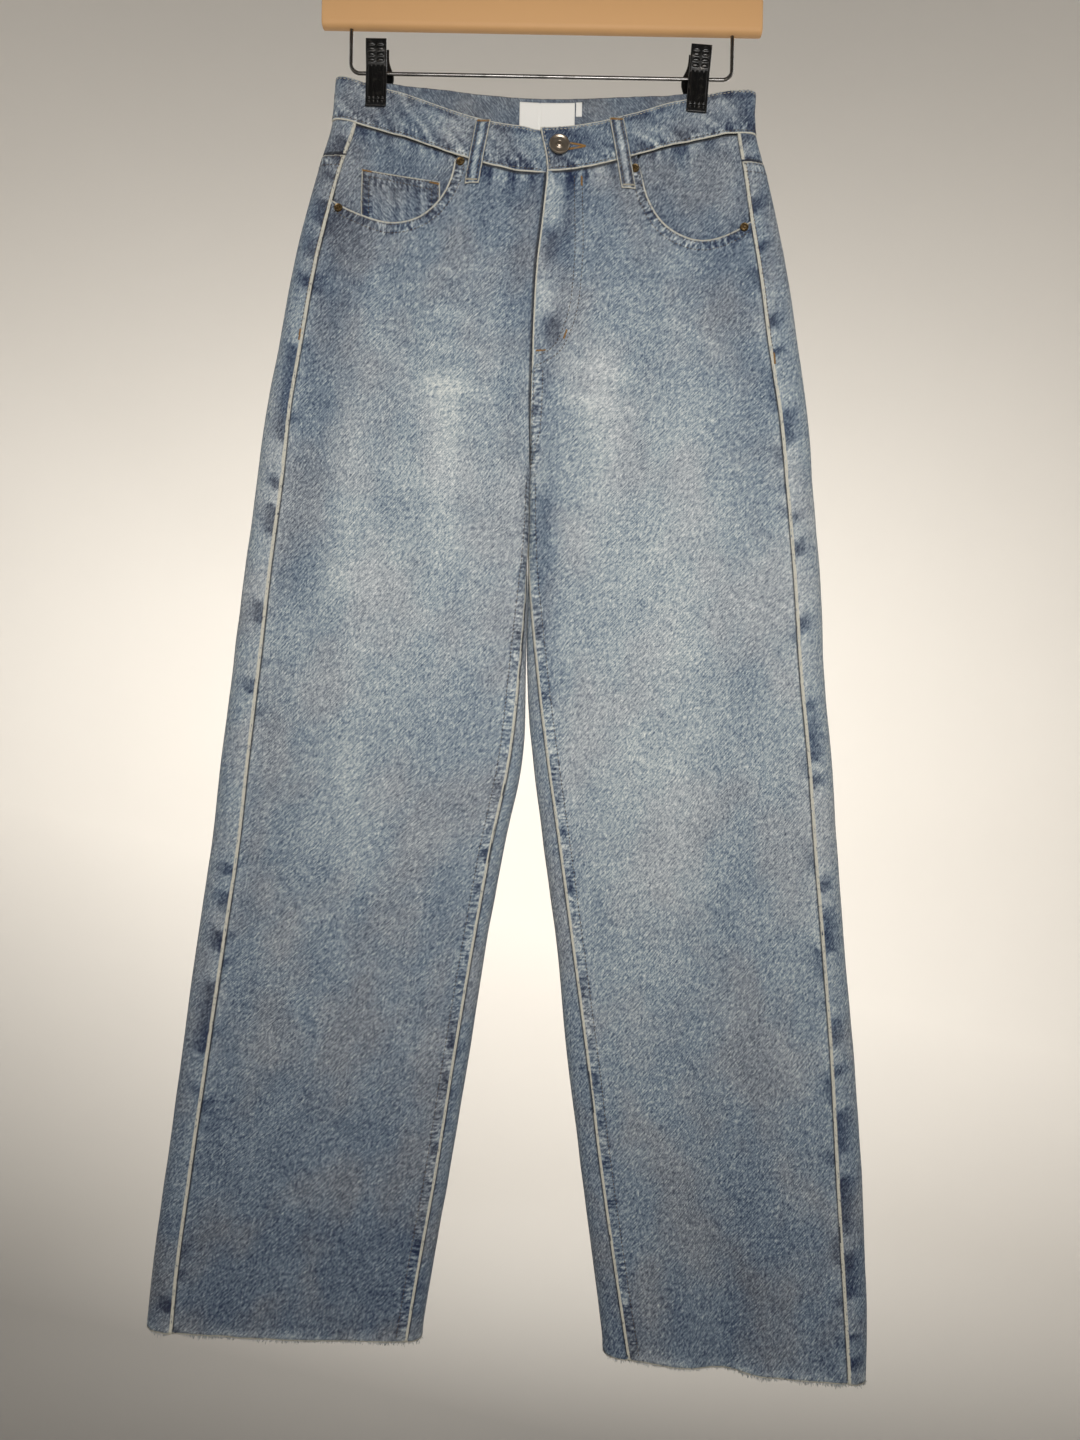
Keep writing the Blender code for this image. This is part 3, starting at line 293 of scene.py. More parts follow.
def cloth_y(side, face, x, z):
    """Where the garment's outer face stands at x and z, on one side's front or back."""
    outer, inner = flat(side + "_outer", z), inner_edge(side, z)
    joined = np.sin(np.pi / 2 * np.clip((z - FORK) / FORK_HEIGHT, 0, 1))
    at_outer = turn(np.abs(x - outer) / deep("outer_turn", z))
    at_inner = turn(np.abs(inner - x) / deep(side + "_turn", z))
    at_inner = 1 - (1 - at_inner) * (1 - joined)
    waist = np.cos(np.pi / 2 * np.clip(np.abs(x - WAIST_MIDDLE) / deep("reach", z), 0, 1)) ** 2
    leg = np.sin(np.pi * np.clip((x - inner) / (outer - inner), 0, 1)) ** 2
    whole = ease((z - FORK) / (1.8 * FORK_HEIGHT))
    swell = leg + (waist - leg) * whole
    depth = deep("side", z) + (deep(face, z) - deep("side", z)) * swell
    held = ease((z - PINCH_FOOT) / (BAND_CORNER_RIGHT - BAND_HEIGHT - PINCH_FOOT))
    for clip in CLIPS.values():
        near = np.exp(-(((x - clip["x"]) / PINCH_WIDTH) ** 4))
        depth = depth + (PINCH_DEPTH - depth) * near * held
    depth = (depth + folds(face, x, z)) * at_outer * at_inner
    inwards = np.clip((x - outer) / (inner - outer), 0, 1)
    outer_set = deep("left_outer_set", z) if side == "left" else 0.0
    inner_set = deep(side + "_inner_set", z) * (1 - joined)
    middle = outer_set * (1 - inwards) + inner_set * inwards
    return middle + (depth if face == "back" else -depth)


def band_top(face, x):
    across = (x - WAIST_MIDDLE) / WAIST_HALF
    corner = (BAND_CORNER_RIGHT + BAND_CORNER_LEFT) / 2 + (BAND_CORNER_LEFT - BAND_CORNER_RIGHT) / 2 * across
    dip = FRONT_DIP if face == "front" else BACK_DIP
    return corner - dip * np.cos(np.pi / 2 * np.clip(across, -1, 1)) ** 2


def waist_seam(face, x):
    return band_top(face, x) - BAND_HEIGHT


def scoop(side, x, margin=0.0):
    """The edge of the pocket mouth, or with a margin a line that far outside it."""
    mouth = SCOOPS[side]
    start, low, low_z = abs(mouth["start"]) - margin, abs(mouth["low_x"]), mouth["low_z"] - margin
    inner = np.clip((low - np.abs(x)) / (low - start), 0, 1)
    top = waist_seam("front", mouth["start"])
    steep = low_z + (top - low_z) * (1 - np.sqrt(1 - inner**2))
    end = abs(flat(side + "_outer", mouth["end_z"])) - flat(side + "_outseam", mouth["end_z"])
    outer = np.clip((np.abs(x) - low) / (end - low), 0, 1)
    return np.where(np.abs(x) < low, steep, low_z + (mouth["end_z"] - margin - low_z) * outer**1.7)


def hem(side, x):
    outer_hem, inner_hem = HEM_RIGHT if side == "right" else HEM_LEFT
    outer, inner = flat(side + "_outer", inner_hem), flat(side + "_inner", inner_hem)
    return outer_hem + (inner_hem - outer_hem) * np.clip((x - outer) / (inner - outer), 0, 1)


def yoke_seam(side, x, y):
    across = np.clip(np.abs(x - 1.0) / (np.abs(flat(side + "_outer", YOKE_SIDE)) - 1.0), 0, 1)
    return YOKE_SIDE + (YOKE_CENTRE - YOKE_SIDE) * (1 - across) * (y > 0)


class Tube:
    """One side's cloth on a fine grid of heights and lengths round the garment."""

    HIGH, LOW, STEP = -138.0, -1242.0, 2.0
    REACH, ROUND = 660.0, 0.8
    TURNS = np.linspace(0, np.pi, 161)

    def __init__(self, side):
        self.side, self.sign = side, SIDES[side]
        self.heights = np.arange(self.HIGH, self.LOW, -self.STEP)
        z = self.heights[:, None]
        outer, inner = flat(side + "_outer", z), inner_edge(side, z)
        x = inner + (outer - inner) * (1 - np.cos(self.TURNS)) / 2
        front, back = cloth_y(side, "front", x, z), cloth_y(side, "back", x, z)
        xs = np.concatenate([x, x[:, -2::-1], x[:, 1:]], axis=1)
        ys = np.concatenate([front, back[:, -2::-1], front[:, 1:]], axis=1)
        steps = np.hypot(np.diff(xs, axis=1), np.diff(ys, axis=1))
        self.lengths = np.concatenate([np.zeros((len(z), 1)), np.cumsum(steps, axis=1)], axis=1)
        last = len(self.TURNS) - 1
        self.tip, self.whole = self.lengths[:, last], self.lengths[:, 2 * last]
        grid = np.arange(0, self.REACH, self.ROUND)
        self.x = np.stack([np.interp(grid, row, xs[i]) for i, row in enumerate(self.lengths)])
        self.y = np.stack([np.interp(grid, row, ys[i]) for i, row in enumerate(self.lengths)])
        run = np.stack([np.gradient(self.x, self.ROUND, axis=1), np.gradient(self.y, self.ROUND, axis=1)])
        rise = np.stack([np.gradient(self.x, -self.STEP, axis=0), np.gradient(self.y, -self.STEP, axis=0)])
        normal = np.stack([run[1], -run[0], run[0] * rise[1] - run[1] * rise[0]], axis=-1) * self.sign
        self.normal = normal / np.maximum(np.linalg.norm(normal, axis=-1), 1e-9)[..., None]
        width = np.abs(outer - inner)[:, 0]
        inseam = np.arccos(1 - 2 * np.maximum(flat(side + "_inseam", self.heights), 0) / width) / np.pi * last
        outseam = np.arccos(2 * flat(side + "_outseam", self.heights) / width - 1) / np.pi * last
        inseam = np.where(self.heights > FORK, 0.0, inseam)
        self.inseam, self.outseam = self._length_at(inseam), self._length_at(outseam)

    def _length_at(self, index):
        low = np.clip(np.floor(index).astype(int), 0, self.lengths.shape[1] - 2)
        rows, part = np.arange(len(self.lengths)), index - np.floor(index)
        return self.lengths[rows, low] * (1 - part) + self.lengths[rows, low + 1] * part

    def seam(self, name, z):
        """The length of cloth up to the tip, outseam, inseam or whole, at these heights."""
        return np.interp(-np.asarray(z, float), -self.heights, getattr(self, name))

    def _mix(self, table, row, column):
        r = np.clip(row.astype(int), 0, table.shape[0] - 2)
        c = np.clip(column.astype(int), 0, table.shape[1] - 2)
        a, b = np.clip(row - r, 0, 1), np.clip(column - c, 0, 1)
        if table.ndim == 3:
            a, b = a[..., None], b[..., None]
        upper = table[r, c] * (1 - b) + table[r, c + 1] * b
        lower = table[r + 1, c] * (1 - b) + table[r + 1, c + 1] * b
        return upper * (1 - a) + lower * a

    def spot(self, length, z, out=0.0):
        """Points this far off the surface, and the way out there."""
        length, z = np.broadcast_arrays(np.asarray(length, float), np.asarray(z, float))
        row, column = (self.HIGH - z) / self.STEP, length / self.ROUND
        x, y = self._mix(self.x, row, column), self._mix(self.y, row, column)
        normal = self._mix(self.normal, row, column)
        normal = normal / np.linalg.norm(normal, axis=-1)[..., None]
        return np.stack([x, y, z], axis=-1) + normal * np.reshape(out, np.shape(out) + (1,)), normal

    def length_of(self, face, x, z):
        """The length of cloth up to x at these heights, on the front or the back."""
        x, z = np.broadcast_arrays(np.asarray(x, float), np.asarray(z, float))
        outer, inner = flat(self.side + "_outer", z), inner_edge(self.side, z)
        index = np.arccos(np.clip(1 - 2 * (x - inner) / (outer - inner), -1, 1)) / np.pi
        index = index * (len(self.TURNS) - 1)
        if face == "back":
            index = 2 * (len(self.TURNS) - 1) - index
        return self._mix(self.lengths, (self.HIGH - z) / self.STEP, index)


TUBES = {side: Tube(side) for side in SIDES}


# ---------------------------------------------------------------- uneven detail


def ripple(x, seed):
    """A smooth uneven wave between -1 and 1."""
    table = np.random.default_rng(seed).uniform(-1, 1, 1024)
    low = np.floor(x).astype(int)
    part = ease(x - low)
    return table[low % 1024] * (1 - part) + table[(low + 1) % 1024] * part


def mottle(x, y, seed):
    """Smooth uneven patches between -1 and 1."""
    table = np.random.default_rng(seed).uniform(-1, 1, (256, 256))
    low_x, low_y = np.floor(x).astype(int), np.floor(y).astype(int)
    a, b = ease(x - low_x), ease(y - low_y)
    upper = table[low_x % 256, low_y % 256] * (1 - a) + table[(low_x + 1) % 256, low_y % 256] * a
    lower = table[low_x % 256, (low_y + 1) % 256] * (1 - a) + table[(low_x + 1) % 256, (low_y + 1) % 256] * a
    return upper * (1 - b) + lower * b


# The wash: how pale the denim is at each height, front and back, with painted shade darkening it towards the
# waist and the hems and on the right leg's front below the thigh.
WASH_AND_SHADE_COLUMNS = ("height", "front_right", "front_left", "back")
WASH_AND_SHADE = (
    (-140, 0.40, 0.42, 0.44),
    (-190, 0.42, 0.45, 0.47),
    (-300, 0.51, 0.53, 0.55),
    (-420, 0.61, 0.61, 0.61),
    (-560, 0.62, 0.65, 0.60),
    (-700, 0.57, 0.64, 0.57),
    (-820, 0.53, 0.60, 0.54),
    (-950, 0.49, 0.54, 0.50),
    (-1100, 0.40, 0.46, 0.43),
    (-1240, 0.35, 0.42, 0.38),
)

# Worn streaks (+) and dark ones (-), each along a line: half width, paler by, and relief in millimetres.
STREAK_COLUMNS = ("face", "x_start", "z_start", "x_end", "z_end", "width", "start", "end", "relief")
STREAKS = (
    # whiskers, right leg
    ("front", -85, -313, -33, -316, 5, 0.07, 0.03, 0.5),
    ("front", -80, -347, -37, -364, 6, 0.09, 0.04, 0.5),
    ("front", -86, -377, -46, -382, 5, 0.10, 0.04, 0.5),
    ("front", -91, -404, -31, -419, 6, 0.08, 0.05, 0.5),
    ("front", -158, -308, -125, -329, 6, 0.06, 0.03, 0.4),
    ("front", -165, -324, -116, -365, 6, 0.07, 0.04, 0.4),
    ("front", -152, -352, -104, -392, 7, 0.05, 0.05, 0.4),
    # whiskers, left leg
    ("front", 91, -306, 124, -305, 5, 0.06, 0.05, 0.5),
    ("front", 90, -357, 112, -356, 5, 0.07, 0.04, 0.5),
    ("front", 112, -351, 151, -377, 6, 0.06, 0.05, 0.4),
    ("front", 33, -389, 80, -402, 6, 0.08, 0.08, 0.5),
    ("front", 27, -418, 80, -428, 6, 0.07, 0.06, 0.5),
    ("front", 62, -330, 104, -324, 6, 0.05, 0.04, 0.4),
    # thighs and knees
    ("front", -74, -412, -76, -520, 17, 0.15, 0.08, 0.0),
    ("front", -77, -545, -84, -680, 20, 0.05, 0.02, 0.0),
    ("front", -155, -460, -154, -565, 18, 0.08, 0.05, 0.0),
    ("front", -130, -560, -132, -790, 34, 0.06, 0.06, 0.0),
    ("front", -150, -720, -150, -850, 16, 0.05, 0.02, 0.0),
    ("front", 56, -385, 57, -520, 17, 0.12, 0.07, 0.0),
    ("front", 116, -440, 120, -830, 28, 0.05, 0.04, 0.0),
    ("front", 70, -640, 96, -1100, 20, 0.04, 0.02, 0.0),
    # darker stretches: painted shade in the fold troughs beside the fly and down the legs, and where the legs
    # part; two darker patches at the top of the left front; a pale crease
    ("front", 10, -390, 10, -660, 8, -0.10, -0.04, 0.0),
    ("front", -18, -205, -18, -470, 10, -0.07, -0.06, 0.0),
    ("front", 34, -215, 34, -250, 9, -0.12, -0.06, 0.0),
    ("front", 176, -205, 172, -232, 9, -0.10, -0.02, 0.0),
    ("front", -228, -700, -252, -1010, 20, -0.04, -0.04, 0.0),
    ("front", 172, -620, 196, -1190, 22, -0.05, -0.05, 0.0),
    ("front", -178, -849, -120, -848, 3, 0.05, 0.02, 0.2),
    # fly placket
    ("front", 12, -246, 11, -270, 8, 0.14, 0.12, 0.0),
    ("front", 12, -287, 11, -300, 8, -0.24, -0.20, 0.0),
    ("front", 6, -330, 5, -346, 7, 0.16, 0.12, 0.0),
    ("front", 12, -358, 13, -372, 8, -0.26, -0.20, 0.0),
    ("front", 26, -232, 23, -330, 4, -0.16, -0.10, -0.4),
    ("front", 19, -345, 16, -372, 4, -0.14, -0.10, -0.3),
    ("front", 7, -476, 6, -486, 6, 0.10, 0.06, 0.0),
    # seat and backs of the legs
    # The hips are darker towards the outseams.
    ("front", -152, -215, -200, -560, 28, -0.15, -0.12, 0.0),
    ("front", 152, -215, 192, -520, 26, -0.13, -0.05, 0.0),
    # Painted shade: the crotch is darker where the legs part.
    ("front", 8, -505, 14, -660, 13, -0.13, -0.08, 0.0),
    ("back", -78, -330, -84, -430, 46, 0.10, 0.06, 0.0),
    ("back", 80, -330, 86, -430, 46, 0.10, 0.06, 0.0),
    ("back", -128, -600, -150, -1040, 34, 0.06, 0.04, 0.0),
    ("back", 126, -600, 148, -1040, 34, 0.06, 0.04, 0.0),
    ("back", -60, -500, -150, -486, 8, 0.07, 0.03, 0.5),
    ("back", 62, -504, 152, -492, 8, 0.07, 0.03, 0.5),
    ("back", -84, -792, -170, -780, 9, 0.05, 0.03, 0.5),
    ("back", 80, -798, 166, -788, 9, 0.05, 0.03, 0.5),
    ("back", -92, -826, -178, -820, 9, 0.04, 0.02, 0.5),
    ("back", 90, -832, 172, -824, 9, 0.04, 0.02, 0.5),
)

# How each kind of seam shows on the panel beside it. ridge is how proud the cloth stands up to ridge_to from
# the edge, rows are its stitch rows (a valley under each), wave the puckers of pitch, reaching that far; dark
# and pale are the wash in and between the puckers, cream how worn the very edge is (where it is 0 the
# material paints a shadow line along the edge instead), and sewn how much the cloth puckers between the
# stitches.
SEAM_COLUMNS = ("ridge", "ridge_to", "rows", "wave", "pitch", "reach", "dark", "pale", "cream", "sewn")
SEAMS = {
    "strip": (0.9, 6.5, (), 0.30, 25.0, 9.0, 0.28, 0.06, 1.0, 0.0),
    "under_strip": (-0.1, 2.0, (), 0.20, 25.0, 7.0, 0.14, 0.05, 0.0, 0.0),
    "fell": (0.55, 8.8, (8.6,), 0.30, 24.0, 6.0, 0.14, 0.06, 0.75, 0.75),
    "under_fell": (-0.1, 1.5, (), 0.15, 24.0, 4.0, 0.10, 0.03, 0.0, 0.0),
    "fly": (0.3, 3.5, (), 0.15, 30.0, 5.0, 0.04, 0.03, 0.9, 0.0),
    "rise": (0.4, 9.2, (2.0, 8.8), 0.30, 17.0, 6.0, 0.14, 0.06, 0.4, 0.9),
    "under_fly": (0.0, 2.0, (), 0.10, 30.0, 4.0, 0.05, 0.02, 0.0, 0.0),
    "scoop": (0.5, 9.6, (2.0, 8.4), 0.25, 9.0, 7.0, 0.10, 0.05, 0.8, 0.95),
    "waist": (-0.2, 4.0, (), 0.45, 9.0, 12.0, 0.26, 0.12, 0.0, 0.35),
    "yoke": (0.45, 10.0, (2.0, 8.8), 0.30, 15.0, 7.0, 0.14, 0.08, 0.6, 0.8),
    "under_yoke": (-0.1, 2.0, (), 0.15, 15.0, 4.0, 0.10, 0.03, 0.0, 0.0),
    "hem": (0.0, 2.0, (), 0.35, 13.0, 6.0, 0.05, 0.08, 0.6, 0.0),
}


def near(points, length, z):
    """How far each point of the cloth is from a seam's line, and how far along it."""
    points = np.asarray(points, float)
    runs = np.concatenate([[0.0], np.cumsum(np.hypot(*np.diff(points, axis=0).T))])
    best, where = np.full(len(length), 1e9), np.zeros(len(length))
    for start, end, run in zip(points, points[1:], runs):
        step = end - start
        t = np.clip(((length - start[0]) * step[0] + (z - start[1]) * step[1]) / (step @ step), 0, 1)
        away = np.hypot(length - start[0] - t * step[0], z - start[1] - t * step[1])
        closer = away < best
        best = np.where(closer, away, best)
        where = np.where(closer, run + t * np.hypot(*step), where)
    return best, where


def dress(seams, length, z, seed):
    """The relief that a panel's seams give it, how the wash differs there, and its worn edges."""
    relief, paleness = np.zeros(len(length)), np.zeros(len(length))
    edge, edge_run, cream = np.full(len(length), 60.0), np.zeros(len(length)), np.zeros(len(length))
    sewn = np.zeros(len(length))
    for number, (kind, points) in enumerate(seams):
        seam = dict(zip(SEAM_COLUMNS, SEAMS[kind]))
        away, run = near(points, length, z)
        own = seed + 7 * number
        relief += seam["ridge"] * (1 - ease((away - seam["ridge_to"]) / 2.2))
        for row in seam["rows"]:
            relief -= 0.35 * bell((away - row) / 1.2)
        uneven = run / seam["pitch"] * 2 + 0.6 * ripple(run / 31.0, own + 1)
        pucker = ripple(uneven, own)
        band = bell((away - 0.35 * seam["reach"]) / seam["reach"])
        relief += seam["wave"] * pucker * band
        patch = ease((ripple(uneven + 0.25 * away / seam["reach"], own + 2) - 0.1) / 0.4)
        paleness -= seam["dark"] * patch * band
        paleness += seam["pale"] * (1 - patch) * bell((away - 0.5 * seam["reach"]) / (0.7 * seam["reach"]))
        closer = away < edge
        edge = np.where(closer, away, edge)
        edge_run = np.where(closer, run, edge_run)
        cream = np.where(closer, seam["cream"], cream)
        sewn = np.where(closer, seam["sewn"], sewn)
    return relief, paleness, {"edge": edge, "edge_run": edge_run, "cream": cream, "sewn": sewn}


def wash_and_shade_at(side, face, x, z):
    """How pale the denim is, with the painted shade in the wash table and in some dark streaks, and the relief
    of the whiskers.
    """
    column = "back" if face == "back" else "front_" + side
    tone = smooth(WASH_AND_SHADE, WASH_AND_SHADE_COLUMNS, column, z)
    relief = np.zeros(np.shape(x))
    for row in STREAKS:
        if row[0] != face:
            continue
        streak = dict(zip(STREAK_COLUMNS, row))
        t, away = along_line(x, z, *row[1:5])
        shape = bell(away / streak["width"])
        tone = tone + (streak["start"] * (1 - t) + streak["end"] * t) * shape
        relief = relief + streak["relief"] * shape * np.sin(np.pi * np.clip(t * 0.9 + 0.05, 0, 1))
    return tone, relief


# ---------------------------------------------------------------- materials


# The twill's ridges lie up to the right: how far they are turned, and the width of one.
TWILL_TURN, TWILL_PITCH = -0.85, 1.5
FADED_GREY = (0.30, 0.31, 0.33, 1.0)
SEAM_SHADOW = (0.016, 0.017, 0.022, 1.0)


def srgb(*values):
    return tuple(((v / 255 + 0.055) / 1.055) ** 2.4 for v in values) + (1.0,)


class Recipe:
    """Shorthand for building a material's nodes."""

    def __init__(self, name, **shader):
        self.made = bpy.data.materials.new(name)
        self.made.use_nodes = True
        self.tree = self.made.node_tree
        self.shader = self.tree.nodes["Principled BSDF"]
        for key, value in shader.items():
            self.shader.inputs[key.replace("_", " ").title().replace("Ior", "IOR")].default_value = value

    def add(self, kind, sockets=None, **settings):
        node = self.tree.nodes.new("ShaderNode" + kind)
        for key, value in settings.items():
            setattr(node, key, value)
        for key, value in (sockets or {}).items():
            self.put(node.inputs[key], value)
        return node

    def put(self, socket, value):
        if isinstance(value, bpy.types.NodeSocket):
            self.tree.links.new(value, socket)
        else:
            socket.default_value = value

    def math(self, operation, first, second=0.0, third=0.0, clamp=False):
        node = self.add("Math", {0: first, 1: second, 2: third}, operation=operation, use_clamp=clamp)
        return node.outputs[0]

    def times_add(self, first, second, third):
        return self.math("MULTIPLY_ADD", first, second, third)

    def scaled(self, vector, sizes, turned=0.0):
        node = self.add("Mapping", {"Vector": vector, "Scale": sizes, "Rotation": (0, 0, turned)})
        return node.outputs[0]

    def noise(self, vector, scale=1.0, detail=2.0, roughness=0.55, dimensions="3D"):
        sockets = {"Vector": vector, "Scale": scale, "Detail": detail, "Roughness": roughness}
        return self.add("TexNoise", sockets, noise_dimensions=dimensions).outputs["Fac"]

    def spread(self, value, low, high):
        """0 at low and 1 at high."""
        node = self.add("MapRange", {"Value": value, "From Min": low, "From Max": high})
        return node.outputs[0]

    def ramp(self, value, stops):
        node = self.add("ValToRGB", {"Fac": value})
        elements = node.color_ramp.elements
        while len(elements) < len(stops):
            elements.new(0.5)
        for element, (position, colour) in zip(elements, stops):
            element.position = position
            element.color = colour if len(colour) == 4 else (*colour, 1.0)
        return node.outputs["Color"]

    def mix(self, share, first, second, blend="MIX"):
        node = self.add("Mix", data_type="RGBA", blend_type=blend)
        self.put(node.inputs[0], share)
        self.put(node.inputs[6], first if not isinstance(first, tuple) or len(first) == 4 else (*first, 1.0))
        short = isinstance(second, tuple) and len(second) != 4
        self.put(node.inputs[7], (*second, 1.0) if short else second)
        return node.outputs[2]

    def fact(self, name):
        return self.add("Attribute", attribute_name=name, attribute_type="GEOMETRY").outputs["Fac"]

    def object_coords(self):
        return self.add("TexCoord").outputs["Object"]

    def colour(self, value):
        self.put(self.shader.inputs["Base Color"], value)

    def bump(self, height, distance, strength=1.0):
        node = self.add("Bump", {"Height": height, "Distance": distance, "Strength": strength})
        self.put(self.shader.inputs["Normal"], node.outputs[0])


def denim(name, wrong_side=False):
    """Washed denim: twill streaks, vertical slubs, and the mesh's wash with painted shade, its worn edges,
    puckers and painted shadow lines.
    """
    look = finish_settings()
    made = Recipe(name, roughness=0.92)
    made.shader.inputs["Sheen Weight"].default_value = 0.08
    made.shader.inputs["Sheen Roughness"].default_value = 0.6
    made.shader.inputs["Specular IOR Level"].default_value = 0.2
    uv = made.add("UVMap", uv_map="cloth").outputs[0]
    mm = made.add("VectorMath", {0: uv, "Scale": 1000.0}, operation="SCALE").outputs[0]
    parts = made.add("SeparateXYZ", {0: mm})
    u, v = parts.outputs[0], parts.outputs[1]
    # The twill: uneven streaks along one diagonal, and its fine ridges.
    along_twill = made.scaled(mm, (1.0, 1.0, 1.0), TWILL_TURN)
    streak = made.noise(made.scaled(along_twill, (0.17, 0.85, 1.0)), detail=2.0, roughness=0.6)
    drift = made.noise(made.scaled(mm, (0.30, 0.12, 1.0)), detail=1.0)
    ridges = made.math("MULTIPLY", made.math("SUBTRACT", u, v), 2 * math.pi / (TWILL_PITCH * math.sqrt(2)))
    twill = made.math("SINE", made.times_add(drift, 6.0, ridges))
    slub = made.noise(made.scaled(mm, (0.85, 0.13, 1.0)), detail=2.0, roughness=0.6)
    weft = made.noise(made.scaled(mm, (0.16, 0.75, 1.0)), detail=1.0)
    speck = made.noise(made.scaled(mm, (0.50, 0.42, 1.0)), detail=3.0, roughness=0.72)
    cloud = made.noise(made.scaled(mm, (0.05, 0.03, 1.0)), detail=3.0, roughness=0.6)
    tone = made.fact("paleness")
    if wrong_side:
        tone = made.times_add(tone, 0.5, 0.20)
    # Weft shows as cross hatching where the cloth is palest.
    hatch = made.math("MULTIPLY", made.spread(tone, 0.58, 0.80), made.math("SUBTRACT", weft, 0.5))
    for pattern, share in ((streak, 0.92), (slub, 0.42), (speck, 0.85), (cloud, 0.20)):
        tone = made.times_add(made.math("SUBTRACT", pattern, 0.5), share, tone)
    tone = made.times_add(hatch, 0.45, tone)
    tone = made.times_add(twill, 0.035, tone)
    edge, run, cream, sewn = (made.fact(name) for name in ("edge", "edge_run", "cream", "sewn"))
    # Dark and pale puckers between the rows of stitches beside a seam.
    across, along = made.math("MULTIPLY", run, 0.40), made.math("MULTIPLY", edge, 0.14)
    where = made.add("CombineXYZ", {0: across, 1: along})
    puckers = made.noise(where.outputs[0], detail=1.5, roughness=0.5)
    close = made.math("MULTIPLY", made.spread(edge, 10.8, 8.6), made.spread(edge, 0.6, 2.2))
    close = made.math("MULTIPLY", close, sewn)
    pucker = made.math("MULTIPLY", made.spread(puckers, 0.36, 0.64), close)
    pucker = made.times_add(close, -0.62, pucker)
    tone = made.times_add(pucker, 0.50, tone)
    stops = (
        (0.08, look.indigo), (0.32, look.shade), (0.53, look.middle), (0.74, look.worn), (0.95, look.bare),
    )
    colour = made.ramp(tone, stops)
    grey = made.noise(made.scaled(mm, (0.016, 0.011, 1.0)), detail=2.0)
    faded = made.mix(made.math("MULTIPLY", made.spread(grey, 0.45, 0.62), 0.45), colour, FADED_GREY, "COLOR")
    line = made.math("DIVIDE", edge, made.math("MAXIMUM", cream, 0.05))
    line = made.math("MULTIPLY", made.spread(line, 1.9, 1.2), made.spread(cream, 0.05, 0.25))
    ragged = made.spread(made.math("ADD", slub, speck), 0.72, 0.94)
    colour = made.mix(made.math("MULTIPLY", line, ragged, clamp=True), faded, tuple(look.edge))
    # The shadow line on the cloth that runs under another piece.
    under = made.math("MULTIPLY", made.spread(edge, 2.6, 1.4), made.spread(cream, 0.05, 0.0))
    colour = made.mix(made.math("MULTIPLY", under, 0.80), colour, SEAM_SHADOW)
    if wrong_side:
        colour = made.mix(0.20, colour, srgb(140, 146, 150))
    made.colour(colour)
    height = made.times_add(twill, 0.20, made.times_add(speck, 0.7, made.math("MULTIPLY", streak, 0.9)))
    made.bump(made.times_add(pucker, 0.7, height), 0.00045, 0.9)
    return made.made


def thread(name, colour):
    """Matt cotton thread, faded here and there."""
    made = Recipe(name, roughness=0.75)
    place = made.object_coords()
    uneven = made.noise(place, 160.0, detail=2.0)
    strand = made.noise(made.scaled(place, (3000.0, 3000.0, 1400.0)), detail=1.0)
    share = made.math("MULTIPLY", made.spread(uneven, 0.52, 0.74), 0.7)
    faded = made.mix(share, tuple(colour), srgb(150, 146, 136))
    made.colour(made.mix(made.spread(strand, 0.3, 0.7), made.mix(0.5, faded, (0, 0, 0), "MULTIPLY"), faded))
    made.bump(strand, 0.0002, 0.6)
    return made.made


def metal(name, base, worn, roughness, scale, wear=(0.5, 0.7)):
    """Plated metal with fine scratches and a little tarnish."""
    made = Recipe(name, metallic=1.0)
    place = made.object_coords()
    blotch = made.noise(place, scale, detail=4.0, roughness=0.6)
    scratch = made.noise(made.scaled(place, (2600.0, 2600.0, 260.0)), detail=2.0)
    made.colour(made.mix(made.spread(blotch, *wear), base, worn))
    rough = made.times_add(scratch, 0.18, roughness - 0.09)
    made.put(made.shader.inputs["Roughness"], made.times_add(blotch, 0.12, rough))
    made.bump(made.math("ADD", scratch, blotch), 0.00006, 0.5)
    return made.made


def stage_with_painted_shade():
    look = finish_settings()
    made = Recipe("pale_stage", roughness=0.9)
    grain = made.noise(made.object_coords(), 3.0, detail=3.0)
    shade = tuple(look.floor)
    plain = made.mix(made.spread(grain, 0.2, 0.8), tuple(c * 0.985 for c in shade), shade)
    # Painted shade: the stage is darker lower down and more to the left, in place of light falling off on the
    # wall. This is worked out for the stage in front of the camera at rest, and turns over behind it.
    place = made.add("SeparateXYZ", {0: made.object_coords()})
    depth = made.math("ADD", place.outputs[1], 0.874)
    level = made.math("DIVIDE", made.math("ADD", place.outputs[2], 0.6845), depth)
    aside = made.math("DIVIDE", place.outputs[0], depth)
    level = made.times_add(aside, 0.22, level)
    made.colour(made.mix(made.spread(level, -0.20, -0.68), plain, tuple(c * 0.30 for c in shade)))
    return made.made


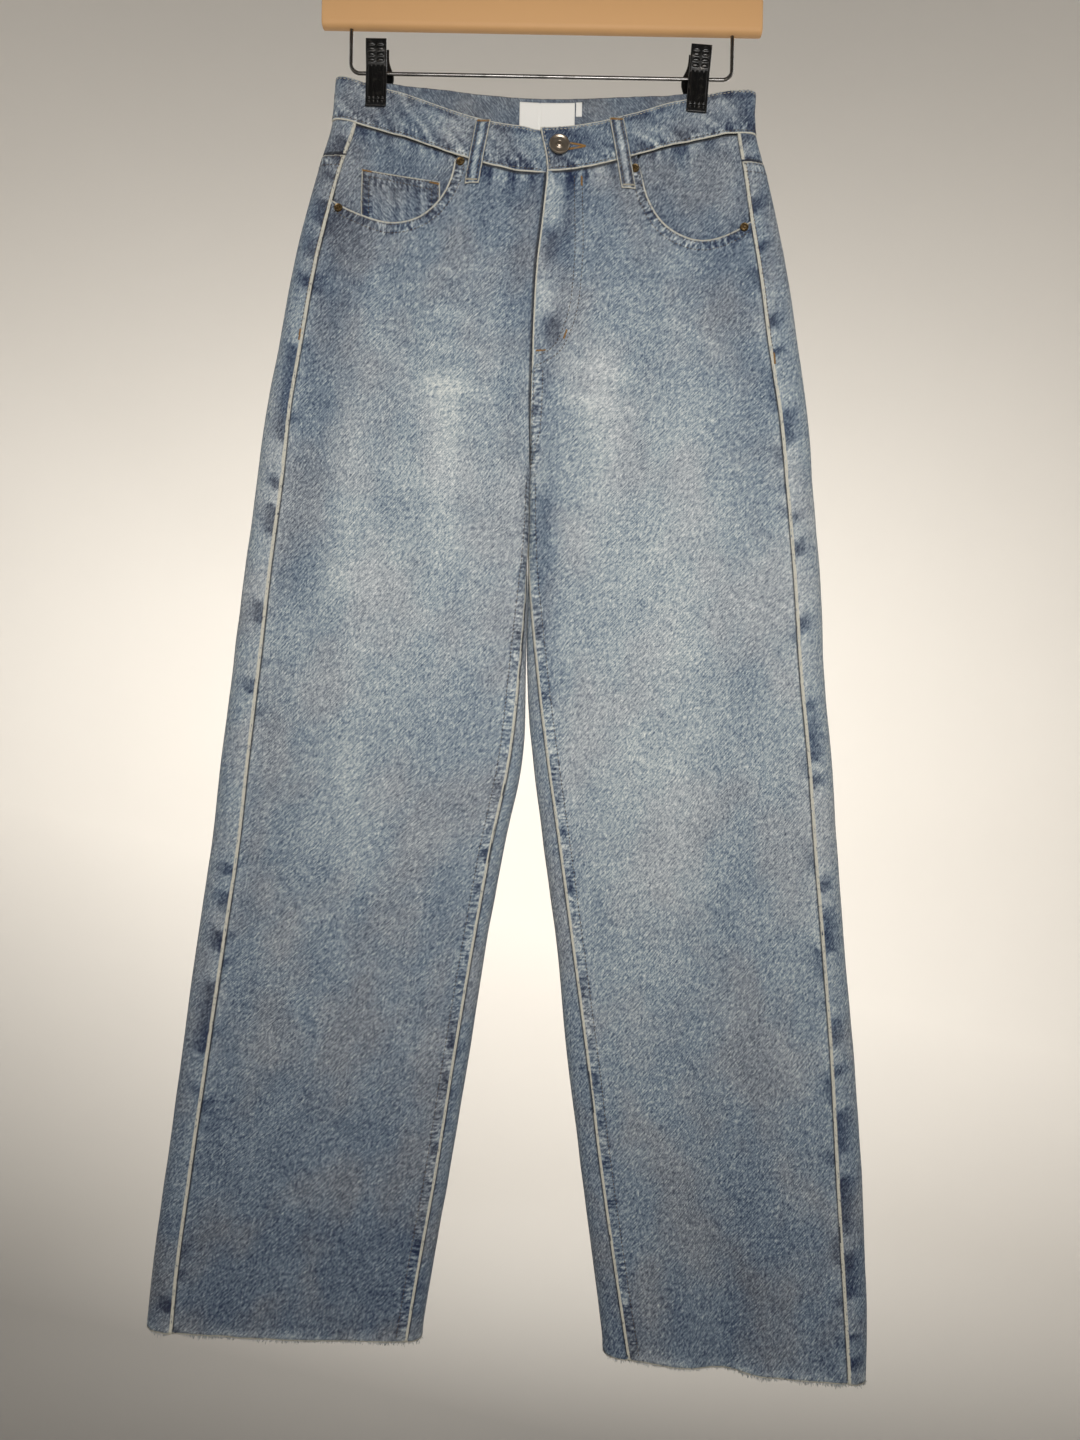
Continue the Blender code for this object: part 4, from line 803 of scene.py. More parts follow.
def material(name):
    """A material by its name, made the first time it is asked for.

    The bar, the label and the button wear the frame's own flat materials, which are found here by name.
    """
    found = bpy.data.materials.get(name)
    if found:
        return found
    look = finish_settings()
    recipes = {
        "washed_denim": lambda: denim("washed_denim"),
        "denim_wrong_side": lambda: denim("denim_wrong_side", wrong_side=True),
        "thread_tan": lambda: thread("thread_tan", look.tan),
        "thread_cream": lambda: thread("thread_cream", look.cream),
        "thread_ochre": lambda: thread("thread_ochre", look.ochre),
        "thread_fray": lambda: thread("thread_fray", look.fray),
        "worn_brass": lambda: metal("worn_brass", srgb(112, 92, 62), srgb(176, 160, 128), 0.38, 500.0),
        "plated_wire": lambda: metal("plated_wire", srgb(128, 126, 124), srgb(86, 84, 82), 0.17, 60.0),
        "clip_steel": lambda: metal(
            "clip_steel", srgb(58, 58, 58), srgb(104, 100, 96), 0.26, 260.0, (0.55, 0.8)
        ),
        "pale_stage": stage_with_painted_shade,
    }
    return recipes[name]()


# ---------------------------------------------------------------- pieces


def piece(name, mesh, materials, nodes=()):
    """A finished piece: an object at the origin, on the one body and the nodes it replaces."""
    made = bpy.data.objects.new(name, mesh)
    bpy.context.scene.collection.objects.link(made)
    for item in materials:
        mesh.materials.append(material(item))
    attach(made, "root")
    if nodes:
        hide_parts(*nodes)
    return made


def shade_smooth(mesh, angle=50.0):
    mesh.shade_smooth()
    mesh.set_sharp_from_angle(angle=math.radians(angle))


def cloth(name, across, up, place, wall, materials, node, wrong_way=False):
    """A sheet of cloth. place(across, up) gives each vertex's point, its u and v along the cloth, and facts
    for the material; the wall goes on inwards."""
    bm = bmesh.new()
    bmesh.ops.create_grid(bm, x_segments=len(across) - 1, y_segments=len(up) - 1, size=0.5)
    if wrong_way:
        bmesh.ops.reverse_faces(bm, faces=bm.faces[:])
    mesh = bpy.data.meshes.new(name)
    bm.to_mesh(mesh)
    bm.free()
    spots = np.empty(len(mesh.vertices) * 3)
    mesh.vertices.foreach_get("co", spots)
    spots = spots.reshape(-1, 3)
    columns = np.rint((spots[:, 0] + 0.5) * (len(across) - 1)).astype(int)
    rows = np.rint((spots[:, 1] + 0.5) * (len(up) - 1)).astype(int)
    points, u, v, facts = place(np.asarray(across, float)[columns], np.asarray(up, float)[rows])
    mesh.vertices.foreach_set("co", (points * MM).astype(np.float32).ravel())
    corners = np.empty(len(mesh.loops), int)
    mesh.loops.foreach_get("vertex_index", corners)
    layer = mesh.uv_layers.new(name="cloth")
    layer.data.foreach_set("uv", (np.stack([u, v], axis=1)[corners] * MM).astype(np.float32).ravel())
    for fact in ("paleness", "edge", "edge_run", "cream", "sewn"):
        values = np.broadcast_to(facts.get(fact, 0.0), len(points)).astype(np.float32)
        mesh.attributes.new(fact, "FLOAT", "POINT").data.foreach_set("value", values)
    mesh.update()
    mesh.shade_smooth()
    made = piece(name, mesh, materials, (node,))
    solid = made.modifiers.new("wall", "SOLIDIFY")
    solid.thickness = wall * MM
    solid.offset = -1.0
    solid.use_even_offset = False
    solid.material_offset = len(materials) - 1
    solid.material_offset_rim = 0
    return made


def columns_between(width, fine, coarse, seam_band):
    """Shares of a width, closer together within seam_band of both ends."""
    ends = max(2, int(round(seam_band / fine)))
    inner = max(2, int(round((width - 2 * seam_band) / coarse)))
    first = np.linspace(0, seam_band / width, ends + 1)
    middle = np.linspace(first[-1], 1 - first[-1], inner + 1)
    return np.concatenate([first[:-1], middle, (1 - first[:-1])[::-1]])


def settle(start, low_line, rounds=16):
    """The heights that satisfy z = low_line(z), starting from start."""
    z = start
    for _ in range(rounds):
        z = (z + low_line(z)) / 2
    return z


SEAM_BAND, PANEL_WIDTH, COARSE_STEP = 15.0, 230.0, 4.2
LAP = 0.9


class Panel:
    """A long panel: its edges in lengths of cloth at each height, and the seams round it."""

    def __init__(self, side, face):
        self.side, self.face, self.tube = side, face, TUBES[side]
        self.seed = {"right": 11, "left": 12}[side] * 100 + {"front": 1, "back": 2}[face] * 10

    def ends(self, z):
        gap = SEAM_GAP / 2
        below = z < FORK - 4
        if self.face == "front":
            inner = self.tube.seam("inseam", z) + np.where(below, -LAP, gap)
            return np.maximum(inner, gap * 0.2), self.tube.seam("outseam", z) - gap
        whole = self.tube.seam("whole", z) + self.tube.seam("inseam", z)
        return self.tube.seam("outseam", z) - LAP, whole - gap

    def length(self, share, z):
        start, end = self.ends(z)
        return start + (end - start) * share

    def foot(self, share):
        return settle(
            np.full(len(share), -1205.0),
            lambda z: hem(self.side, self.tube.spot(self.length(share, z), z)[0][:, 0]),
        )

    def top(self, share):
        def line(z):
            point = self.tube.spot(self.length(share, z), z)[0]
            x, y = point[:, 0], point[:, 1]
            if self.face == "back":
                return yoke_seam(self.side, x, y) - SEAM_GAP / 2
            mouth = SCOOPS[self.side]["start"]
            return np.where(np.abs(x) <= abs(mouth), waist_seam("front", x) - SEAM_GAP, scoop(self.side, x))

        return settle(np.full(len(share), -245.0), line, 22)

    def front_line(self, xs, line):
        """A line over the front, given by x, as lengths and heights."""
        xs = np.asarray(xs, float)
        z = line(xs)
        return np.stack([self.tube.length_of("front", xs, z), z], axis=1)

    def seams(self):
        side, tube = self.side, self.tube
        legs = np.linspace(FORK, -1240.0, 60)
        if self.face == "front":
            mouth = SCOOPS[side]
            end_x = abs(flat(side + "_outer", mouth["end_z"])) - flat(side + "_outseam", mouth["end_z"])
            bend_x = SIDES[side] * np.concatenate(
                [
                    abs(mouth["start"])
                    + (abs(mouth["low_x"]) - abs(mouth["start"]))
                    * (1 - np.cos(np.linspace(0, np.pi / 2, 16))),
                    np.linspace(abs(mouth["low_x"]), end_x, 8)[1:],
                ]
            )
            sides = np.linspace(mouth["end_z"], -1240.0, 70)
            centre = np.linspace(-225.0, FLY_FOOT, 12)
            rise = np.linspace(FLY_FOOT, FORK, 8)
            waist_x = np.linspace(1.0 * SIDES[side], mouth["start"], 12)
            hem_x = np.linspace(flat(side + "_inner", -1210.0), flat(side + "_outer", -1210.0), 14)
            return (
                ("under_strip", np.stack([tube.seam("outseam", sides), sides], axis=1)),
                ("fell", np.stack([tube.seam("inseam", legs), legs], axis=1)),
                ("fly" if side == "left" else "under_fly", np.stack([0 * centre, centre], axis=1)),
                ("rise" if side == "left" else "under_fly", np.stack([0 * rise, rise], axis=1)),
                ("scoop", self.front_line(bend_x, lambda x: scoop(side, x))),
                ("waist", self.front_line(waist_x, lambda x: waist_seam("front", x))),
                ("hem", self.front_line(hem_x, lambda x: hem(side, x))),
            )
        sides = np.linspace(YOKE_SIDE, -1240.0, 76)
        seat = np.linspace(YOKE_CENTRE, FORK, 16)
        whole = tube.seam("whole", legs) + tube.seam("inseam", legs)
        shares = np.linspace(0, 1, 26)
        tops, feet = self.top(shares), self.foot(shares)
        return (
            ("strip", np.stack([tube.seam("outseam", sides), sides], axis=1)),
            ("under_fell", np.stack([whole, legs], axis=1)),
            ("rise" if side == "left" else "under_fly", np.stack([tube.seam("whole", seat), seat], axis=1)),
            ("yoke", np.stack([self.length(shares, tops), tops], axis=1)),
            ("hem", np.stack([self.length(shares, feet), feet], axis=1)),
        )

    def relief(self, length, z):
        """How far the dressed cloth stands off the plain surface, and the facts for its material."""
        base = self.tube.spot(length, z)[0]
        x = base[:, 0]
        tip = self.tube.seam("tip", z)
        tone, whisker = wash_and_shade_at(self.side, "front" if self.face == "front" else "back", x, z)
        if self.face == "back":
            # The strip of the back that shows from the front, and the bend beside it.
            strip = 1 - ease((length - tip + 4) / 14)
            front_tone = smooth(WASH_AND_SHADE, WASH_AND_SHADE_COLUMNS, "front_" + self.side, z) - 0.02
            tone = tone + (front_tone - tone) * strip
            tone = tone + 0.05 * bell((length - tip) / 5.0)
            whisker = whisker * (1 - strip)
        lift, paleness, facts = dress(self.seams(), length, z, self.seed)
        lift = lift + whisker
        lift = lift + 0.55 * mottle(length / 46.0, z / 74.0, self.seed) + 0.22 * mottle(
            length / 17.0, z / 24.0, self.seed + 1
        )
        tone = tone + paleness + 0.025 * mottle(length / 24.0, z / 30.0, self.seed + 2)
        if self.face == "front" and self.side == "left":
            step = ease((z - FLY_FOOT) / 30) * np.exp(-length / FLY_STEP_REACH)
            lift = lift + FLY_STEP * step
        # Painted shade: the right front is darker along its inner edge above the fly's foot, where it runs
        # under the left front's fly.
        if self.face == "front" and self.side == "right":
            tone = tone - 0.08 * bell(length / 9.0) * (z > FLY_FOOT)
        hem_away = z - hem(self.side, x)
        lift = lift + 0.9 * bell(hem_away / 7.0) * (0.4 + ripple(length / 19.0, self.seed + 3))
        tone = tone + 0.10 * bell(hem_away / 6.0)
        return lift, {"paleness": tone, **facts}

    def place(self, share, down):
        """down is 0 at the hem and 1 at the top edge."""
        unique, which = np.unique(share, return_inverse=True)
        feet, tops = self.foot(unique)[which], self.top(unique)[which]
        z = feet + (tops - feet) * down
        length = self.length(share, z)
        lift, facts = self.relief(length, z)
        point = self.tube.spot(length, z, lift)[0]
        return point, length * SIDES[self.side], z, facts

    def point(self, length, z, out=0.0):
        """Points on the dressed cloth."""
        lift = self.relief(np.asarray(length, float), np.asarray(z, float))[0]
        return self.tube.spot(length, z, lift + out)


PANELS = {(side, face): Panel(side, face) for side in SIDES for face in ("front", "back")}


def panel_columns(side, face):
    sizes = cloth_settings()
    if face == "back":
        return columns_between(PANEL_WIDTH * 1.25, sizes.seam_step / MM, COARSE_STEP, SEAM_BAND)
    shares = columns_between(PANEL_WIDTH, sizes.seam_step / MM, COARSE_STEP, SEAM_BAND)
    # Columns crowd where the pocket mouth drops from the waist seam, so that its edge keeps its curve.
    mouth = SCOOPS[side]
    tube = TUBES[side]
    top = waist_seam("front", mouth["start"])
    start, end = PANELS[side, face].ends(np.array([top]))
    share = (tube.length_of("front", mouth["start"], top) - start[0]) / (end[0] - start[0])
    shares = np.array(shares)
    nearest = np.abs(shares - share).argmin()
    shares[nearest] = share
    extra = share + np.array([0.0012, 0.004, 0.009, 0.016, 0.025, 0.036])
    return np.unique(np.round(np.concatenate([shares, extra]), 6))


def panel_rows():
    count = int(round(950.0 * MM / cloth_settings().row_step))
    plain = np.linspace(0, 1, count)
    # Rows crowd towards the hem and the top edge.
    return plain - 0.012 * np.sin(2 * np.pi * plain)


DENIM_SIDES = ("washed_denim", "denim_wrong_side")


def make_panel(side, face):
    panel = PANELS[side, face]
    name = face + "_" + side
    made = cloth(
        name + "_cloth", panel_columns(side, face), panel_rows(), panel.place,
        WALL, DENIM_SIDES, name, wrong_way=side == "right",
    )
    return made


def border(share, down, width, height):
    """How far a point of a small piece is from its edge, and how far round."""
    to_side, to_end = np.minimum(share, 1 - share) * width, np.minimum(down, 1 - down) * height
    edge = np.minimum(to_side, to_end)
    return edge, np.where(to_side < to_end, down * height, share * width)


def make_yoke(side):
    tube = TUBES[side]

    def seams():
        strip = np.linspace(-170.0, YOKE_SIDE, 6)
        shares = np.linspace(0, 1, 24)
        low = low_edge(shares)
        centre = np.linspace(-190.0, YOKE_CENTRE, 6)
        return (
            ("strip", np.stack([tube.seam("outseam", strip), strip], axis=1)),
            ("under_yoke", np.stack([length(shares, low), low], axis=1)),
            ("under_fly", np.stack([tube.seam("whole", centre), centre], axis=1)),
        )

    def length(share, z):
        start, end = tube.seam("outseam", z) - LAP, tube.seam("whole", z) - SEAM_GAP / 2
        return start + (end - start) * share

    def low_edge(share):
        def line(z):
            point = tube.spot(length(share, z), z)[0]
            return yoke_seam(side, point[:, 0], point[:, 1]) + SEAM_GAP / 2

        return settle(np.full(len(share), -240.0), line, 22)

    def high_edge(share):
        def line(z):
            point = tube.spot(length(share, z), z)[0]
            x = point[:, 0]
            return np.where(point[:, 1] > 0, waist_seam("back", x), waist_seam("front", x)) - SEAM_GAP

        return settle(np.full(len(share), -190.0), line, 22)

    def place(share, up):
        low, high = low_edge(share), high_edge(share)
        z = low - LAP * 0.8 + (high - low + LAP * 0.8) * up
        along = length(share, z)
        lift, paleness, facts = dress(seams(), along, z, 500 + SIDES[side])
        point = tube.spot(along, z)[0]
        tone = wash_and_shade_at(side, "back", point[:, 0], z)[0] + paleness
        return (
            tube.spot(along, z, lift + 0.25)[0], along * SIDES[side], z,
            {"paleness": tone, **facts},
        )

    across = columns_between(200.0, 1.6, 3.4, SEAM_BAND)
    made = cloth(
        "yoke_" + side + "_cloth", across, np.linspace(0, 1, 34), place,
        WALL, DENIM_SIDES, "yoke_" + side, wrong_way=side == "right",
    )


UNDERLAP, UNDERLAP_SINK, UNDERLAP_RUN = 36.0, BAND_WALL + 0.6, 16.0


def band_spots(spot, height, out):
    """Points of the waistband at this height above the waist seam.

    spot runs from 0 at the fly on the wearer's right, round the back at 0.5, to 1 at the fly on the left; below
    0 it is under the fly.
    """
    point, z_all = np.zeros((len(spot), 3)), np.zeros(len(spot))
    for side in SIDES:
        chosen = (spot >= 0) & (spot <= 0.5) if side == "right" else (spot < 0) | (spot > 0.5)
        if not chosen.any():
            continue
        tube, here = TUBES[side], spot[chosen]
        under = here <= 0
        share = np.where(under, -here, here) if side == "right" else np.where(under, -here, 1 - here)
        z = np.full(len(here), -190.0)
        for _ in range(16):
            tip, whole = tube.seam("tip", z), tube.seam("whole", z)
            length = tip * np.minimum(share * 4, 1) + (whole - tip) * np.clip(share * 4 - 1, 0, 1)
            if side == "left":
                length = np.where(under, length, np.maximum(length, SEAM_GAP))
            x = tube.spot(length, z)[0][:, 0]
            foot = np.where(length < tip, waist_seam("front", x), waist_seam("back", x))
            z = (z + foot + height[chosen]) / 2
        tuck = ease(1 - length / UNDERLAP_RUN) if side == "right" else np.where(under, 1.0, 0.0)
        point[chosen] = tube.spot(length, z, BAND_PROUD + out[chosen] - UNDERLAP_SINK * tuck)[0]
        z_all[chosen] = z
    return point, z_all


def make_band():
    run = 4 * WAIST_HALF + 10.0
    under = -np.linspace(UNDERLAP, 1.0, 14) / run
    spots = np.concatenate([under, np.linspace(0, 1, 380)])

    def place(spot, height):
        edge = np.minimum(height, BAND_HEIGHT - height)
        round_run = spot * run
        end = np.minimum(np.abs(spot - 1), np.abs(spot + UNDERLAP / run)) * run
        roll = -0.9 * (1 - turn(edge / 1.8))
        rows = -0.28 * (bell((height - 2.6) / 1.1) + bell((BAND_HEIGHT - height - 2.4) / 1.1))
        lean = round_run * 0.9 + (BAND_HEIGHT - height) * 0.8
        low = 1 - ease((height - 9) / 16)
        wrinkle = ripple(lean / 5.5, 901) * 0.42 * low + ripple(lean / 9.0, 902) * 0.25
        wave = 0.30 * ripple(round_run / 24.0, 903) + wrinkle
        seam_puckers = 0.25 * ripple(round_run / 4.2, 904) * bell((edge - 4) / 4)
        out = 0.35 + roll + rows + wave + seam_puckers
        point, z = band_spots(spot, height, out)
        tone = np.where(point[:, 1] > 0, 0.40, 0.44 + 0.04 * (point[:, 0] < 0))
        tone = tone + 0.42 * wrinkle + 0.16 * ripple(round_run / 5.2, 905) * bell((edge - 3.5) / 4.5)
        top_row = bell((BAND_HEIGHT - height - 4.5) / 2.2)
        tone = tone + 0.07 * mottle(lean / 15, height / 9, 906) - 0.10 * top_row
        edge = np.minimum(edge, end)
        facts = {"paleness": tone, "edge": edge, "edge_run": round_run, "cream": 0.75, "sewn": 0.15 + 0.45 * low}
        return point, -round_run, height, facts

    foot, head = (0, 0.35, 0.9, 1.6, 2.4, 3.4), (33.6, 34.6, 35.4, 36.1, 36.65, 37)
    heights = np.concatenate([foot, np.linspace(4.8, 32.2, 17), head])
    made = cloth(
        "waistband_cloth", spots, heights, place, BAND_WALL, DENIM_SIDES, "waistband", wrong_way=True
    )


def make_facing(side):
    mouth, tube = SCOOPS[side], TUBES[side]

    def place(share, down):
        x_in = mouth["start"] - 0.9 * FACING_MARGIN * SIDES[side]
        z = np.full(len(share), float(waist_seam("front", x_in)))
        for _ in range(10):
            x_out = flat(side + "_outer", z) - SIDES[side] * (flat(side + "_outseam", z) + 1.0)
            x = x_in + (x_out - x_in) * share
            top = waist_seam("front", x) - 2 * SEAM_GAP
            z = top + (scoop(side, x, FACING_MARGIN) - top) * down
        lower = ease((FACING_SINKS_FROM - z) / FACING_SINKS_OVER)
        sink = FACING_SINK_TOP + (FACING_SINK_LOW - FACING_SINK_TOP) * lower
        # Away from the mouth's edge the pocket is filled out, almost level with the front.
        inside = z - scoop(side, x)
        sink = sink - (sink - 0.5) * ease((inside - 2.0) / 13.0) - 0.3 * mottle(x / 17.0, z / 21.0, 31)
        length = tube.length_of("front", x, z)
        point = tube.spot(length, z, -sink)[0]
        to_mouth = z - scoop(side, x)
        # Painted shade: darker just below the pocket mouth's edge and just under the waistband.
        tone = 0.44 - 0.08 * bell(to_mouth / 7.0) - 0.10 * bell((z - waist_seam("front", x)) / 5.0)
        tone = tone + 0.02 * (side == "left") + 0.05 * mottle(x / 9.0, z / 16.0, 32)
        under_band = waist_seam("front", x) - z
        tone = tone + 0.22 * ripple(x / 4.1 + 0.01 * z, 33) * bell((under_band - 4.0) / 7.0)
        # The edge is measured from the waist seam and has no cream, so the material paints a shadow line under
        # the band.
        return point, length * SIDES[side], z, {"paleness": tone, "edge": under_band + 0.2, "edge_run": x}

    made = cloth(
        "pocket_facing_" + side + "_cloth", np.linspace(0, 1, 60), np.linspace(0, 1, 48), place,
        FACING_WALL, DENIM_SIDES, "pocket_facing_" + side, wrong_way=side == "left",
    )


def tree_of(*names):
    graph = bpy.context.evaluated_depsgraph_get()
    return [BVHTree.FromObject(bpy.data.objects[name], graph) for name in names]


def on_trees(trees, face, x, z, out):
    """Points this far out from the made pieces, seen square from the front or the back."""
    heading = Vector((0, 1, 0)) if face == "front" else Vector((0, -1, 0))
    out = np.broadcast_to(out, np.shape(x))
    points, normals = [], []
    for px, pz, reach in zip(x, z, out):
        asides = ((0.0, 0.0), (1.2, 0.0), (0.0, 1.2), (0.0, -1.2))
        starts = [Vector(((px + dx) * MM, -heading.y, (pz + dz) * MM)) for dx, dz in asides]
        hits = [tree.ray_cast(start, heading) for tree in trees for start in starts]
        found = min((hit for hit in hits if hit[0] is not None), key=lambda hit: hit[3])
        normal = found[1] if found[1].dot(heading) < 0 else -found[1]
        points.append(Vector((px, found[0].y / MM, pz)) + normal * reach)
        normals.append(normal)
    return np.array(points), np.array(normals)


def make_coin_pocket():
    facing = tree_of("pocket_facing_right_cloth")
    width, height = COIN_RIGHT - COIN_LEFT, 34.0

    def place(share, down):
        x = COIN_LEFT + width * share
        top = COIN_TOP_LEFT + (COIN_TOP_RIGHT - COIN_TOP_LEFT) * share
        foot = scoop("right", x, COIN_MARGIN)
        z = top + (foot - top) * down
        to_side, to_top = np.minimum(share, 1 - share) * width, down * height
        edge = np.minimum(to_side, to_top)
        out = LAYER_GAP + COIN_WALL - 0.5 * (1 - turn(edge / 1.4))
        for row in (1.8, 6.6):
            out = out - 0.22 * bell((edge - row) / 0.9)
        out = out + 0.25 * ripple((x + z) / 6.0, 41) * bell((edge - 4) / 4)
        point = on_trees(facing, "front", x, z, out)[0]
        tone = 0.43 + 0.13 * ripple(x / 4.6 + z / 50.0, 42) - 0.06 * bell((edge - 9) / 3)
        run = np.where(to_side < to_top, z, x)
        return point, -x, z, {"paleness": tone, "edge": edge, "edge_run": run, "cream": 0.6, "sewn": 0.8}

    made = cloth(
        "coin_pocket_cloth", np.linspace(0, 1, 48), np.linspace(0, 1, 32), place,
        COIN_WALL, DENIM_SIDES, "coin_pocket", wrong_way=True,
    )


def make_fly_shield():
    under = 9.0

    def place(share, down):
        top = waist_seam("front", 3.0) - 2 * SEAM_GAP
        z = top + (FLY_FOOT - top) * down
        reach = share * (FLY_WIDTH + under)
        x = flat("left_inner", z) - under + reach
        sink = -WALL - 2 * LAYER_GAP
        right = TUBES["right"].spot(TUBES["right"].length_of("front", x, z), z, np.full(len(z), sink))[0]
        left = TUBES["left"].spot(TUBES["left"].length_of("front", x, z), z, np.full(len(z), sink))[0]
        point = np.where((reach < under)[:, None], right, left)
        edge, run = border(share, down, FLY_WIDTH + under, top - FLY_FOOT)
        return point, x, z, {"paleness": np.full(len(z), 0.45), "edge": edge, "edge_run": run, "cream": 0.6}

    made = cloth(
        "fly_shield_cloth", np.linspace(0, 1, 24), np.linspace(0, 1, 60), place,
        WALL, ("denim_wrong_side", "denim_wrong_side"), "fly_shield", wrong_way=True,
    )


def make_back_pocket(side):
    panel = tree_of("back_" + side + "_cloth")
    width, height = POCKET_TOP_OUTER[0] - POCKET_TOP_INNER[0], POCKET_SIDE_HEIGHT + POCKET_POINT

    def place(share, down):
        top_x = POCKET_TOP_INNER[0] + (POCKET_TOP_OUTER[0] - POCKET_TOP_INNER[0]) * share
        top_z = POCKET_TOP_INNER[1] + (POCKET_TOP_OUTER[1] - POCKET_TOP_INNER[1]) * share
        point = POCKET_POINT * (1 - np.abs(2 * share - 1))
        x = 1.0 + SIDES[side] * (top_x + POCKET_TAPER * (1 - 2 * share) * down)
        z = top_z - (POCKET_SIDE_HEIGHT + point) * down
        to_side = np.minimum(share, 1 - share) * width
        to_foot = (1 - down) * (POCKET_SIDE_HEIGHT + point) * 0.94
        to_top = down * height
        edge = np.minimum(np.minimum(to_side, to_foot), to_top)
        sewn = np.minimum(to_side, to_foot)
        out = LAYER_GAP + WALL - 0.9 * (1 - turn(edge / 2.0))
        for row in (2.2, 8.6):
            out = out - 0.28 * bell((sewn - row) / 1.1)
        out = out - 0.28 * bell((to_top - 12.5) / 1.1) - 0.2 * bell((to_top - 2.2) / 1.1)
        out = out + 0.9 * bell((share - 0.5) / 0.35) * (1 - down) * ease(to_side / 12)
        run = np.where(to_side < to_foot, z, x)
        out = out + 0.25 * ripple(run / 7.0, 61) * bell((sewn - 5) / 5) + 0.4 * mottle(x / 31.0, z / 27.0, 62)
        tone = wash_and_shade_at(side, "back", x, z)[0] + 0.02
        patch = ease((ripple(run / 6.5, 63) - 0.1) / 0.6)
        tone = tone - 0.18 * patch * bell((sewn - 4.5) / 4.5) + 0.09 * (1 - patch) * bell((sewn - 5) / 4)
        tone = tone + 0.07 * bell((to_top - 3) / 3.5)
        facts = {"paleness": tone, "edge": edge, "edge_run": run, "cream": 0.75, "sewn": 0.8}
        return on_trees(panel, "back", x, z, out)[0], -x, z, facts

    made = cloth(
        "back_pocket_" + side + "_cloth", np.linspace(0, 1, 76), np.linspace(0, 1, 70), place,
        WALL, DENIM_SIDES, "back_pocket_" + side, wrong_way=side == "left",
    )


def make_belt_loop(name):
    face, top_x, foot_x, foot_z = BELT_LOOPS[name]
    top_z = band_top(face, top_x) - 1.5
    below = "front" if face == "front" else "yoke"
    under = (below + "_right_cloth", below + "_left_cloth")
    trees = tree_of("waistband_cloth", *under)
    long = top_z - foot_z

    def place(share, down):
        z = top_z + (foot_z - top_z) * down
        x = top_x + (foot_x - top_x) * down + (share - 0.5) * LOOP_WIDTH
        arch = LOOP_ARCH * np.sin(np.pi * down) ** 0.8
        to_side = np.minimum(share, 1 - share) * LOOP_WIDTH
        out = 0.5 + arch + LOOP_WALL - 0.8 * (1 - turn(to_side / 1.6)) - 0.30 * bell((to_side - 2.4) / 0.9)
        out = out + 0.35 * bell((share - 0.5) / 0.22) + 0.15 * ripple(z / 6.0, 71)
        ends = np.minimum(down, 1 - down) * long
        out = out - 0.5 * (1 - turn(ends / 1.8)) + 0.3 * bell((ends - 2.0) / 2.0)
        middle = top_x + (foot_x - top_x) * down
        base = on_trees(trees, face, middle, z, np.zeros(len(z)))[0]
        side_base = on_trees(trees, face, x, z, np.zeros(len(z)))[0]
        outwards = -1.0 if face == "front" else 1.0
        stand = np.where(ends < 3.0, side_base[:, 1], base[:, 1] * 0.6 + side_base[:, 1] * 0.4)
        point = np.stack([x, stand + outwards * out, z], axis=1)
        tone = 0.48 + 0.20 * bell((share - 0.5) / 0.17) - 0.24 * bell((to_side - 2.4) / 1.4)
        tone = tone + 0.08 * ripple(z / 4.0, 72)
        edge = np.minimum(to_side, ends)
        facts = {"paleness": tone, "edge": edge, "edge_run": z, "cream": 0.55}
        return point, x * (1 if face == "front" else -1), z, facts

    made = cloth(
        name + "_cloth", np.linspace(0, 1, 15), np.linspace(0, 1, 46), place,
        LOOP_WALL, ("washed_denim", "washed_denim"), name, wrong_way=face == "front",
    )


def make_label():
    inside = BAND_WALL - BAND_PROUD + LAYER_GAP
    tube = TUBES["left"]

    def put(x, z, out):
        x, z = np.asarray(x, float), np.asarray(z, float)
        right = TUBES["right"].spot(TUBES["right"].length_of("back", np.minimum(x, -0.7), z), z, out)[0]
        left = tube.spot(tube.length_of("back", np.maximum(x, 0.7), z), z, out)[0]
        y = np.where(x > 0, left[:, 1], right[:, 1])
        return np.stack([x, y, z], axis=1)

    def label_place(share, down):
        x = LABEL_X + LABEL_WIDTH * (share - 0.5)
        z = band_top("back", x) - 5.0 - LABEL_HEIGHT * down
        ends = np.minimum(share, 1 - share) * LABEL_WIDTH
        bulge = 0.5 * np.sin(np.pi * down) + 0.25 * bell((ends - 6) / 5) * ripple(z / 7.0, 81)
        point = put(x, z, np.full(len(z), -inside) - bulge)
        return point, x, z, {}

    def tag_place(share, down):
        x = LABEL_X + LABEL_WIDTH / 2 + 1.0 + TAG_WIDTH * share
        z = band_top("back", x) - 5.0 - TAG_HEIGHT * down
        point = put(x, z, np.full(len(z), -inside - 0.6) - 0.5 * np.sin(np.pi * down))
        return point, x, z, {}

    satin_sides = ("label_satin", "label_satin")
    made = cloth(
        "label_cloth", np.linspace(0, 1, 44), np.linspace(0, 1, 32), label_place,
        0.7, satin_sides, "label", wrong_way=True,
    )
    tag = cloth(
        "size_tag_cloth", np.linspace(0, 1, 8), np.linspace(0, 1, 14), tag_place,
        1.2, satin_sides, "size_tag", wrong_way=True,
    )


# ---------------------------------------------------------------- metal and wood


